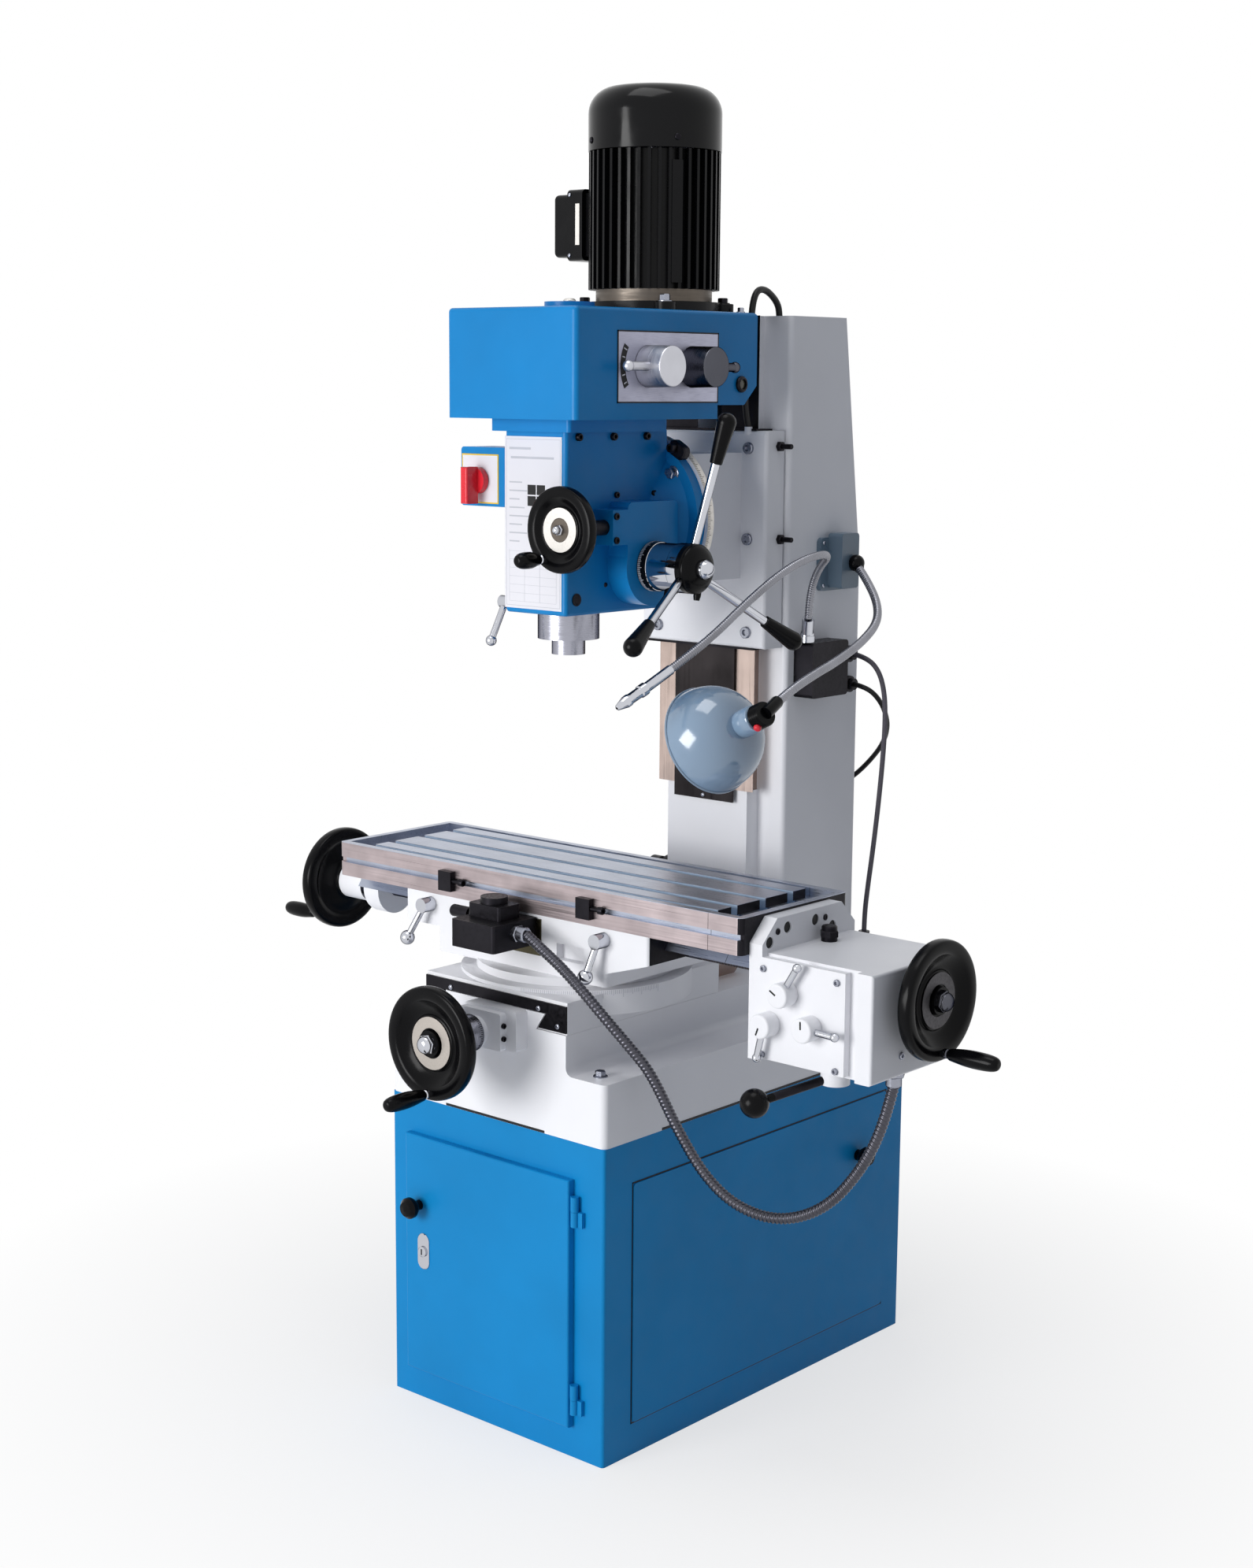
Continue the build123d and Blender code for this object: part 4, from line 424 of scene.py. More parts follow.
def fit(name, body, finish, shape, places, axis=(0, 0, 1), spin=0.0, **more):
    """A piece made of one shape, at one place or at several."""
    return piece(name, body, finish, *copies(shape, np.atleast_2d(places), axis, spin), **more)


# %% [markdown]
# ## Finishes
# Colours are written as sRGB hex values and turned to linear light in one function.
# Each pattern's scale is worked out from a real size: a texture of scale S repeats about every 1/S metres.

# %% Finish helpers
def linear(code):
    """An sRGB hex colour as linear red, green, blue and alpha."""
    srgb = np.array([int(code[i:i + 2], 16) for i in (1, 3, 5)]) / 255
    return (*np.where(srgb <= 0.04045, srgb / 12.92, ((srgb + 0.055) / 1.055) ** 2.4), 1.0)


def add(tree, kind, inputs=(), **settings):
    """One shader node: settings are its properties, and inputs gives sockets a value or a link."""
    made = tree.nodes.new("ShaderNode" + kind)
    for key, value in settings.items():
        setattr(made, key, value)
    for key, value in dict(inputs).items():
        if isinstance(value, bpy.types.NodeSocket):
            tree.links.new(value, made.inputs[key])
        else:
            made.inputs[key].default_value = value
    return made


def new_finish(name, **fixed):
    """A fresh material, its tree, shader and Object coordinates; fixed sets constant sockets."""
    finish = bpy.data.materials.new(name)
    finish.use_nodes = True
    tree = finish.node_tree
    shader = tree.nodes["Principled BSDF"]
    for key, value in fixed.items():
        shader.inputs[key.replace("_", " ")].default_value = value
    where = add(tree, "TexCoord").outputs["Object"]
    return finish, tree, shader, where


def mottle(tree, where, size, detail=3.0, stretch=(1, 1, 1)):
    """Soft noise with spots about size millimetres across; stretch divides that along X, Y and Z."""
    mapped = add(tree, "Mapping", {"Vector": where, "Scale": stretch})
    noise = add(tree, "TexNoise", {"Vector": mapped.outputs[0], "Scale": 1000 / size, "Detail": detail})
    return noise.outputs["Fac"]


def between(tree, value, low, high):
    """Noise, which keeps mostly between 0.3 and 0.7, mapped to low to high."""
    return add(tree, "MapRange", {0: value, 1: 0.3, 2: 0.7, 3: low, 4: high}).outputs[0]


def dent(tree, height, strength, depth):
    """A bump of some depth in millimetres."""
    return add(tree, "Bump", {"Height": height, "Strength": strength, "Distance": depth * mm}).outputs[0]


def math(tree, operation, first, second=0.0):
    """One arithmetic node."""
    return add(tree, "Math", {0: first, 1: second}, operation=operation).outputs[0]


def inside(tree, value, low, high):
    """1 where a coordinate lies between low and high, in millimetres, and 0 elsewhere."""
    over = math(tree, "GREATER_THAN", value, low * mm)
    under = math(tree, "LESS_THAN", value, high * mm)
    return math(tree, "MULTIPLY", over, under)


def clouded(tree, shader, cloud, code, shift):
    """A base colour that wanders by shift either way with a cloud."""
    base = np.array(linear(code))
    darker, lighter = base * (1 - shift), np.minimum(base * (1 + shift), 1)
    fac = between(tree, cloud, 0, 1)
    colour = add(tree, "Mix", {0: fac, 6: (*darker[:3], 1), 7: (*lighter[:3], 1)}, data_type="RGBA")
    tree.links.new(colour.outputs[2], shader.inputs["Base Color"])


def enamel(name, code, peel, rough, shift=0.06, depth=0.05, gloss=0.25):
    """Sprayed enamel: an even colour with faint clouds, and orange peel about peel millimetres wide."""
    finish, tree, shader, where = new_finish(name, IOR=1.5, Specular_IOR_Level=gloss)
    clouded(tree, shader, mottle(tree, where, 160), code, shift)
    gloss_cloud = between(tree, mottle(tree, where, 35), rough - 0.05, rough + 0.06)
    tree.links.new(gloss_cloud, shader.inputs["Roughness"])
    tree.links.new(dent(tree, mottle(tree, where, peel, 1.0), 0.35, depth), shader.inputs["Normal"])
    return finish


def bare_metal(name, code, rough, size=1.2, depth=0.02, shift=0.1, lines=(1, 1, 1), rim="#ffffff"):
    """Bare metal: tool marks are noise of some size in millimetres, drawn out on the axes where lines is
    small; rim tints the metal where it turns away, and a dark rim is a painted reflection that darkens
    the edges as if they mirrored dark surroundings."""
    finish, tree, shader, where = new_finish(name, Metallic=1.0, Specular_Tint=linear(rim))
    marks = mottle(tree, where, size, 2.0, lines)
    clouded(tree, shader, mottle(tree, where, 60), code, shift)
    tree.links.new(between(tree, marks, rough * 0.75, rough * 1.35), shader.inputs["Roughness"])
    tree.links.new(dent(tree, marks, 0.25, depth), shader.inputs["Normal"])
    return finish


# %% [markdown]
# ## Paints, plating and bare steel
# The cabinet, the head and the gearbox are sprayed blue, the castings below white and the motor black.
# Handles are plated, dials and the quill are turned, the table is ground, and wipers are blackened.

# %% Finishes of this machine
blue_sheet = enamel("blue_sheet_enamel", "#0a82c0", peel=2.5, rough=0.4, gloss=0.15)
blue_casting = enamel("blue_casting_enamel", "#1080c2", peel=6.0, rough=0.34, depth=0.1, gloss=0.2)
white_casting = enamel("white_casting_enamel", "#eeeef1", peel=7.0, rough=0.36, shift=0.02, depth=0.1)
motor_enamel = enamel("motor_black_enamel", "#0b0b0d", peel=4.0, rough=0.26, shift=0.2, gloss=0.15)
dome_enamel = enamel("fan_dome_gloss_enamel", "#0a0a0c", 9.0, rough=0.14, shift=0.1, depth=0.02, gloss=0.16)
phenolic = enamel("black_phenolic", "#08080a", peel=5.0, rough=0.22, shift=0.15, depth=0.03, gloss=0.1)
lamp_enamel = enamel("lamp_grey_enamel", "#7e96ae", peel=6.0, rough=0.12, shift=0.04, depth=0.01, gloss=0.9)
reflector = enamel("lamp_reflector_white", "#e6e6e4", peel=5.0, rough=0.3, shift=0.02)
lampbox_enamel = enamel("lamp_box_hammered", "#5f7282", peel=4.0, rough=0.3, shift=0.1, depth=0.2, gloss=0.5)
red_switch = enamel("red_moulded_plastic", "#e02836", peel=4.0, rough=0.25, shift=0.05, depth=0.02, gloss=0.4)
white_print = enamel("white_printed_sheet", "#e4e3e8", peel=2.0, rough=0.45, shift=0.02, depth=0.01)
yellow_print = enamel("yellow_printed_sheet", "#e6c23a", peel=2.0, rough=0.45, shift=0.02, depth=0.01)
black_print = enamel("black_print", "#141416", peel=2.0, rough=0.5, shift=0.1, depth=0.01)
rule_print = enamel("grey_rule_print", "#c2c3ca", peel=2.0, rough=0.5, shift=0.05, depth=0.01)
plate_grey = bare_metal("anodised_plate", "#a2a3b4", 0.45, 0.8, lines=(0.05, 0.05, 1))
olive_plate = bare_metal("oiled_olive_plate", "#4e4a3a", 0.3, 6.0, 0.02, 0.3)
neck_iron = bare_metal("bare_motor_neck", "#625b54", 0.4, 3.0, 0.02, 0.2, (0.05, 0.05, 1))
black_oxide = bare_metal("blackened_steel", "#242327", 0.4, 4.0, 0.03, 0.25)
brown_steel = bare_metal("oiled_brown_steel", "#6e625a", 0.35, 4.0, 0.03, 0.2)
# The dark rim colours below are painted reflection: they darken the edges of chrome, turned steel, knobs and zinc as
# if these mirrored dark surroundings.
chrome = bare_metal("chrome_plate", "#c6c8cf", 0.06, 30.0, 0.004, 0.02, rim="#202026")
turned_z = bare_metal("turned_steel_upright", "#a4a5b0", 0.22, 0.9, 0.003, 0.05, (0.02, 0.02, 1), "#202024")
turned_x = bare_metal("turned_steel_across", "#85868f", 0.22, 0.9, 0.003, 0.05, (1, 0.02, 0.02), "#202024")
# One brushed steel in two tones for the two speed knobs: the front knob's lighter copy is painted light, the rear
# knob's darker copy is painted shade; the darker copy also goes on the table wheels' nuts.
knob_painted_light = bare_metal("brushed_bright_knob", "#c6c7ce", 0.36, 0.9, 0.003, 0.05, (1, 0.02, 0.02), "#505058")
knob_and_nut_painted_shade = bare_metal("brushed_dark_knob", "#56575e", 0.24, 0.9, 0.003, 0.05, (1, 0.02, 0.02), "#202024")
turned_y = bare_metal("turned_steel_along", "#a2a3ad", 0.24, 0.9, 0.003, 0.05, (0.02, 1, 0.02), "#303036")
satin_ring = bare_metal("satin_aluminium", "#c9c6c2", 0.5, 3.0, 0.02, 0.06)
worn_ring = bare_metal("worn_aluminium", "#aaa49e", 0.5, 3.0, 0.02, 0.06)
# A darker copy of satin aluminium: painted shade on the table wheels' rings.
ring_painted_shade = bare_metal("dark_satin_ring", "#4a494c", 0.45, 3.0, 0.02, 0.06)
zinc = bare_metal("zinc_plated_screw", "#9a9da8", 0.25, 5.0, rim="#303036")
conduit_steel = bare_metal("dark_conduit_strip", "#4e4e55", 0.32, 3.0)
wound_steel = bare_metal("galvanised_strip", "#85868d", 0.3, 3.0)
bronze = bare_metal("worm_bronze", "#b98a45", 0.3)
# Pale blue for the table's slot walls: painted reflection of the blue sheen the slots show.
slot_sides_reflection = enamel("bright_slot_wall", "#b7cbe0", peel=6.0, rough=0.35)
ground_iron = bare_metal("ground_cast_iron", "#a9afbe", 0.32, 1.4, 0.03, lines=(0.03, 1, 1))
# Milled iron for the table's sides: the streaks are its own, its brownish tone is painted reflection.
milled_edge_and_reflection = bare_metal("milled_iron_edge", "#a89c9e", 0.36, 2.2, 0.05, 0.2, (0.012, 1, 1))
way_iron = bare_metal("scraped_way_iron", "#b09f97", 0.36, 3.0, 0.04, 0.14, (1, 1, 0.03))
cover_steel = bare_metal("way_cover_steel", "#2d2a2b", 0.36, 7.0, 0.05, 0.3, (1, 1, 0.02))
grey_sheath = enamel("grey_cable_sheath", "#55525a", peel=3.0, rough=0.45, shift=0.08)
black_sheath = enamel("black_cable_sheath", "#0e0e10", peel=3.0, rough=0.4, shift=0.15)
oil_glass = enamel("oil_sight_glass", "#4a4636", peel=4.0, rough=0.08, gloss=0.5)
frosted = enamel("frosted_bulb", "#efece2", peel=4.0, rough=0.4)
for slot, finishes in (
    ("blue_paint", (blue_sheet, blue_casting)),
    ("white_paint", (white_casting, white_print, yellow_print, reflector, frosted)),
    ("black_paint", (motor_enamel, dome_enamel, black_print, rule_print)),
    ("black_plastic", (phenolic,)),
    ("dark_steel", (black_oxide, brown_steel, cover_steel, oil_glass, olive_plate, neck_iron)),
    ("chrome", (chrome,)),
    ("ground_iron", (ground_iron, milled_edge_and_reflection, way_iron, slot_sides_reflection)),
    ("bright_steel", (turned_x, turned_y, turned_z, knob_painted_light, knob_and_nut_painted_shade)),
    ("bright_steel", (satin_ring, worn_ring, ring_painted_shade, zinc, plate_grey)),
    ("bronze", (bronze,)),
    ("flexible_metal", (wound_steel, conduit_steel)),
    ("grey_enamel", (lamp_enamel, lampbox_enamel)),
    ("red_plastic", (red_switch,)),
    ("cable_rubber", (grey_sheath, black_sheath)),
):
    slot_of.update((finish.name, slot) for finish in finishes)
print("finishes", len(bpy.data.materials))


# %% [markdown]
# Some solids are one casting with two finishes, such as a column with painted sides and ground ways.
# A mask made of Object coordinates, with limits in millimetres, chooses between the two shaders.

# %% Two finishes on one solid
def split_finish(name, outer, inner, mask):
    """Two finishes in one tree: mask builds a value from the tree's X, Y and Z; 1 shows the inner one."""
    finish = outer.copy()
    finish.name = name
    tree = finish.node_tree
    output = tree.nodes["Material Output"]
    shown = output.inputs[0].links[0].from_socket
    twin = {}
    for old in inner.node_tree.nodes:
        if old.name == "Material Output":
            continue
        made = tree.nodes.new(old.bl_idname)
        for key in ("operation", "data_type"):
            if hasattr(old, key):
                setattr(made, key, getattr(old, key))
        for socket, fresh in zip(old.inputs, made.inputs):
            if hasattr(socket, "default_value") and not socket.is_linked:
                fresh.default_value = socket.default_value
        twin[old] = made
    for link in inner.node_tree.links:
        if link.to_node in twin:
            source = list(link.from_node.outputs).index(link.from_socket)
            target = list(link.to_node.inputs).index(link.to_socket)
            tree.links.new(twin[link.from_node].outputs[source], twin[link.to_node].inputs[target])
    second = twin[inner.node_tree.nodes["Principled BSDF"]]
    split = add(tree, "SeparateXYZ", {0: add(tree, "TexCoord").outputs["Object"]})
    value = mask(tree, dict(zip("xyz", split.outputs)))
    mixed = add(tree, "MixShader", {0: value, 1: shown, 2: second.outputs[0]})
    tree.links.new(mixed.outputs[0], output.inputs[0])
    return finish


def reach(tree, first, second, centre):
    """Distance from an axis, from two coordinates and the axis's place in millimetres."""
    a = math(tree, "SUBTRACT", first, centre[0] * mm)
    b = math(tree, "SUBTRACT", second, centre[1] * mm)
    squares = math(tree, "ADD", math(tree, "MULTIPLY", a, a), math(tree, "MULTIPLY", b, b))
    return math(tree, "SQRT", squares)


def either(tree, *values):
    """The largest of several masks."""
    top = values[0]
    for value in values[1:]:
        top = math(tree, "MAXIMUM", top, value)
    return top


def both(tree, first, second):
    """1 where two masks are both 1."""
    return math(tree, "MULTIPLY", first, second)


def thread(tree, along, first, second, centre, pitch):
    """1 in a thread's groove: pitches along the axis plus turns round it have a fraction under a half."""
    a = math(tree, "SUBTRACT", first, centre[0] * mm)
    b = math(tree, "SUBTRACT", second, centre[1] * mm)
    turn = math(tree, "DIVIDE", math(tree, "ARCTAN2", a, b), 2 * pi)
    place = math(tree, "FRACT", math(tree, "ADD", turn, math(tree, "DIVIDE", along, pitch * mm)))
    return math(tree, "LESS_THAN", place, 0.5)


def within(**limits):
    """A mask: 1 where each named coordinate lies between its two limits."""
    def mask(tree, at):
        value = 1.0
        for key, (low, high) in limits.items():
            value = both(tree, value, inside(tree, at[key], low, high))
        return value
    return mask


def about(first, second, centre, low, high):
    """A mask: 1 where the distance from an axis, in two named coordinates, lies between two limits."""
    return lambda tree, at: inside(tree, reach(tree, at[first], at[second], centre), low, high)


def any_of(*masks):
    """A mask: 1 where one of several masks is 1."""
    return lambda tree, at: either(tree, *[mask(tree, at) for mask in masks])


def all_of(first, second):
    """A mask: 1 where two masks are both 1."""
    return lambda tree, at: both(tree, first(tree, at), second(tree, at))


# %% Give every solid its first finish
finish_of = {name: finish for finish, names in {
    blue_sheet: ("cabinet", "side_panel", "front_door"),
    blue_casting: ("head_casting", "feed_housing", "gearbox_case", "switch_box"),
    white_casting: ("y_screw_bracket", "cross_slide", "feed_gearbox", "carriage", "end_bracket",
                    "base_casting", "column", "upper_saddle"),
    motor_enamel: ("motor", "fan_cover", "terminal_box"),
    phenolic: ("side_panel_knob", "y_handwheel", "x_handwheels", "fine_wheel", "lever_grips"),
    black_oxide: ("stop_dogs", "limit_switch", "limit_plunger", "cross_slide_wiper", "cable_glands",
                  "lift_crank", "carriage_wipers", "coolant_block", "feed_lever"),
    chrome: ("table_lock_left", "table_lock_right", "quill_lock", "feed_hub",
             "feed_knob_top", "feed_knob_left", "feed_knob_right"),
    # Front speed knob: painted light; rear speed knob: painted shade.
    knob_painted_light: ("speed_knob_front",),
    knob_and_nut_painted_shade: ("speed_knob_rear",),
    turned_x: ("x_leadscrew",),
    turned_y: ("y_leadscrew",),
    turned_z: ("quill", "spindle", "z_leadscrew", "gear_shaft", "spindle_gear", "motor_rotor"),
    bronze: ("worm_wheel",),
    ground_iron: ("table",),
    lampbox_enamel: ("lamp_base",),
    lamp_enamel: ("lamp_shade",),
    red_switch: ("switch_knob",),
    conduit_steel: ("conduit",),
    wound_steel: ("coolant_hose", "lamp_gooseneck"),
    grey_sheath: ("grey_cable",),
    black_sheath: ("black_cable", "motor_cable"),
}.items() for name in names}

# %% Second finishes: ground ways, dials, knobs and dark faces
cross_axis, table_axis, hub_axis, lever_axis = (0, 614), (-188, 733), (-135, 1272), (515, -235)
knob_places = {"top": (474, 732), "left": (445, 685), "right": (515, 692)}
table_sides = within(z=(700, 825.4))
table_edges = any_of(within(y=(-320, -307.7)), within(y=(-320, -299.8), x=(-400, -383.8)))
for node, inner, mask in (
    ("front_door", phenolic, all_of(within(y=(-420, -377.5)), about("x", "z", (-146, 312), -1, 17))),
    ("column", way_iron, within(y=(0, 141.2), z=(908.6, 1300))),
    # Above 1300 mm the column's front face, behind the gearbox, is coloured near black with the blackened steel
    # shader, darker than the ways below.
    ("column", black_oxide, within(y=(0, 110), z=(1300, 1640))),
    ("base_casting", way_iron, within(y=(-361, 400), z=(625.4, 660))),
    ("upper_saddle", black_oxide, any_of(within(x=(241.4, 260)), within(x=(-260, -244.4)))),
    # The table's front and end faces take milled iron whose brownish tone is painted reflection.
    ("table", milled_edge_and_reflection, all_of(table_sides, table_edges)),
    # The table's right-facing end faces take blackened steel: unmachined iron, darkened further as painted shade,
    # since faces turned to +X lie in shade.
    ("table", black_oxide, all_of(table_sides, any_of(within(x=(349.6, 350.4)), within(x=(401, 420))))),
    # The slots' walls are pale blue: painted reflection.
    ("table", slot_sides_reflection, within(z=(790, 825.2), x=(-333, 349), y=(-290, -86))),
    ("carriage_wipers", cover_steel, within(y=(100, 107.4), z=(880, 1130.6))),
    ("feed_hub", phenolic,
     all_of(any_of(within(x=(97, 112.6)), within(x=(168, 178.5))), about("y", "z", hub_axis, -1, 36.6))),
    ("y_leadscrew", phenolic, all_of(within(y=(-497.4, -490)), about("x", "z", cross_axis, 13.2, 30))),
    ("x_leadscrew", white_casting, all_of(within(x=(-497.5, -446)), about("y", "z", table_axis, 12.5, 40))),
    ("x_leadscrew", phenolic,
     all_of(any_of(within(x=(644, 651.4)), within(x=(-526.4, -519))), about("y", "z", table_axis, 13.2, 30))),
    ("x_leadscrew", brown_steel,
     all_of(within(x=(246, 407)), lambda tree, at: thread(tree, at["x"], at["y"], at["z"], table_axis, 5))),
    ("lamp_base", phenolic, within(x=(165.2, 200))),
    ("motor", neck_iron, within(z=(1650.2, 1667.8))),
    ("feed_lever", phenolic, within(y=(-400, -318))),
    ("feed_lever", white_casting, about("x", "y", lever_axis, -1, 20.4)),
    ("coolant_block", chrome, within(z=(1142.3, 1200))),
    *[("feed_knob_" + which, white_casting, about("x", "z", place, -1, 17.3))
      for which, place in knob_places.items()],
):
    finish_of[node] = split_finish(node + "_with_" + inner.name, finish_of[node], inner, mask)
for node, finish in finish_of.items():
    frame["nodes"][node].data.materials.clear()
    frame["nodes"][node].data.materials.append(finish)
print("solids with a finish", len(finish_of), "of", len(frame["nodes"]))

# %% [markdown]
# ## Hoses and cables
# Each hose follows one smooth NURBS line, which the route's points steer.
# The points of that line are read back and a circle is carried along them.
# A strip-wound metal hose has a radius that swells once in each pitch, in a helix.

# %% Routes, in millimetres
conduit_route = (
    (52, -351, 754), (93, -354, 735), (130, -358, 718), (168, -357, 691), (196, -346, 659), (216, -331, 630),
    (231, -317, 605), (243, -306, 584), (256, -295, 553), (274, -279, 500), (316, -268, 436),
    (366, -255, 398),
    (432, -239, 389), (497, -222, 420), (546, -209, 486), (574, -202, 552), (586, -200, 606),
)
gooseneck_route = (
    (180, 259, 1252), (206, 246, 1234), (244, 220, 1204), (278, 172, 1180), (310, 88, 1160), (342, -14, 1144),
    (362, -100, 1132), (380, -176, 1118), (388, -222, 1103),
)
hose_route = (
    (160, 157, 1180), (162, 156, 1204), (172, 150, 1234), (196, 135, 1262), (230, 110, 1280), (252, 68, 1288),
    (256, 10, 1281), (257, -52, 1260), (258, -122, 1226), (258, -193, 1186), (257, -269, 1152),
    (253, -330, 1125),
)
grey_route = (
    (146, 299, 1113), (171, 299, 1109), (191, 303, 1090), (199, 308, 1056), (196, 316, 1010), (187, 325, 950),
    (177, 330, 874), (168, 331, 800), (159, 332, 738), (153, 333, 692), (152, 334, 661),
)
black_route = (
    (146, 301, 1065), (167, 302, 1062), (181, 313, 1048), (183, 333, 1024), (173, 357, 994), (151, 375, 962),
    (122, 383, 932), (92, 383, 904), (64, 376, 884), (42, 364, 872), (28, 351, 866),
)
motor_cable_route = (
    (99, 152, 1606), (99, 152, 1640), (100, 141, 1657), (103, 112, 1672), (105, 88, 1671), (106, 76, 1650),
    (105, 74, 1608), (98, 76, 1560), (88, 84, 1516), (84, 93, 1486), (84, 99, 1469),
)


def smooth_line(route, step):
    """Points every step millimetres along the NURBS line of order 3 whose control points are the route's."""
    curve = bpy.data.curves.new("route", "CURVE")
    curve.dimensions = "3D"
    curve.resolution_u = 32
    spline = curve.splines.new("NURBS")
    spline.points.add(len(route) - 1)
    spline.points.foreach_set("co", np.c_[np.array(route, float), np.ones(len(route))].ravel())
    spline.order_u = 3
    spline.use_endpoint_u = True
    carrier = bpy.data.objects.new("route", curve)
    scene.collection.objects.link(carrier)
    read = bpy.data.meshes.new_from_object(carrier)
    points = np.empty(len(read.vertices) * 3)
    read.vertices.foreach_get("co", points)
    points = points.reshape(-1, 3)
    bpy.data.objects.remove(carrier)
    bpy.data.curves.remove(curve)
    bpy.data.meshes.remove(read)
    run = np.r_[0, np.cumsum(np.linalg.norm(np.diff(points, axis=0), axis=1))]
    stops = np.linspace(0, run[-1], max(2, int(run[-1] / step) + 1))
    return np.stack([np.interp(stops, run, points[:, i]) for i in range(3)], 1), stops


def wound_tube(line, stops, radius, across, around, pitch=0.0, depth=0.0):
    """A circle carried along a line; across is never along it, so two cross products give the circle's axes.
    The radius falls by depth between the turns of a helix of that pitch."""
    ahead = unit(np.gradient(line, axis=0))
    side = unit(np.cross(ahead, np.array(across, float)))
    top = np.cross(side, ahead)
    angle = np.arange(around) * 2 * pi / around
    size = np.full((len(line), around), float(radius))
    if pitch:
        size -= depth * (0.5 + 0.5 * np.cos(2 * pi * stops[:, None] / pitch - angle)) ** 1.6
    out = np.cos(angle)[:, None] * side[:, None] + np.sin(angle)[:, None] * top[:, None]
    rows = line[:, None] + size[..., None] * out
    points, faces = skin(rows)
    ends = np.arange(around)
    return points, faces + [ends[None, ::-1], ends[None] + around * (len(line) - 1)]


# %% Cables and hoses as pieces
spout_length, overlap = 54, 4
tubes = {}
for name, route, radius, across, pitch, depth, finish, step, around in (
    ("conduit_hose", conduit_route, 8.0, (0.24, -0.97, 0), 6.0, 1.3, conduit_steel, 1.0, 18),
    ("lamp_gooseneck_tube", gooseneck_route, 6.5, (0.3, 0, 1), 4.4, 1.0, wound_steel, 0.8, 16),
    ("coolant_hose_tube", hose_route, 6.0, (1, 0, 0.15), 4.0, 0.9, wound_steel, 0.75, 16),
    ("grey_cable_tube", grey_route, 4.0, (0, 1, 0.2), 0, 0, grey_sheath, 3.0, 14),
    ("black_cable_tube", black_route, 4.0, (0.2, 0.2, 1), 0, 0, black_sheath, 3.0, 14),
    ("motor_cable_tube", motor_cable_route, 5.0, (1, 0, 0), 0, 0, black_sheath, 3.0, 16),
):
    line, stops = smooth_line(route, step)
    if name == "coolant_hose_tube":
        bare = stops > stops[-1] - spout_length
        spout_line, spout_stops = line[bare], stops[bare]
        kept = stops <= stops[-1] - spout_length + overlap
        line, stops = line[kept], stops[kept]
    tube = piece(name, None, finish, wound_tube(line, stops, radius, across, around, pitch, depth), crease=80)
    tubes[name] = (tube, line, stops[-1])
    print(name, "length", round(stops[-1]), "mm", "faces", len(tube.data.polygons))

# %% What holds each of them
conduit_ends = ("saddle", "table", (0.30, -0.272, 0.46), (0.55, -0.21, 0.48))
motor_cable_ends = ("stand", "carriage", (0.099, 0.152, 1.63), (0.085, 0.092, 1.49))
for name, node, cord_diameter, ends in (
    ("conduit_hose", "conduit", 0.016, conduit_ends),
    ("motor_cable_tube", "motor_cable", 0.010, motor_cable_ends),
    ("grey_cable_tube", "grey_cable", 0.008, None),
    ("black_cable_tube", "black_cable", 0.008, None),
    ("lamp_gooseneck_tube", "lamp_gooseneck", None, None),
    ("coolant_hose_tube", "coolant_hose", None, None),
):
    tube, line, length = tubes[name]
    if ends:
        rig.blend(tube, *ends[:2], start=ends[2], end=ends[3])
    else:
        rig.ride(tube, "stand")
    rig.replaces(tube, node)
    if cord_diameter:
        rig.cord(tube, exit=(line[0] * mm).tolist(), length=length * mm, diameter=cord_diameter,
                far_end="object", stiffness="stiff", lay="hanging", path=(line * mm).tolist())

# %% [markdown]
# ## Handwheels
# A handwheel is one profile carried round: a hub, a dished web and a rolled rim.
# Its grip is a second turned shape on a steel ferrule, and a metal ring and a nut sit on the hub.

# %% Handwheels
front, side, far_side, up, down = (0, -1, 0), (1, 0, 0), (-1, 0, 0), (0, 0, 1), (0, 0, -1)
wheel = lathe(soften([
    (12, 0), (26, 0), (26, 9), (44, 12), (58, 16), (66, 12), (78, 12), (82, 16), (82, 28), (79, 32), (65, 32),
    (60, 27), (50, 20), (42, 18), (39, 23), (12, 23), (12, 0)]), 72)
ring_face, nut_face = 22.9, 29
cross_at, right_at, left_at = (0, -468, 614), (622, *table_axis), (-497, *table_axis)


def grip(length):
    """A handle that swells towards its end: a stem, a waist, a belly and a rounded tip."""
    return lathe(soften([(0, 0), (5, 0), (5, 6), (8, 8), (9, 14), (12, 0.45 * length), (12, 0.75 * length),
                         (10, length - 5), (6, length), (0, length)]), 28)


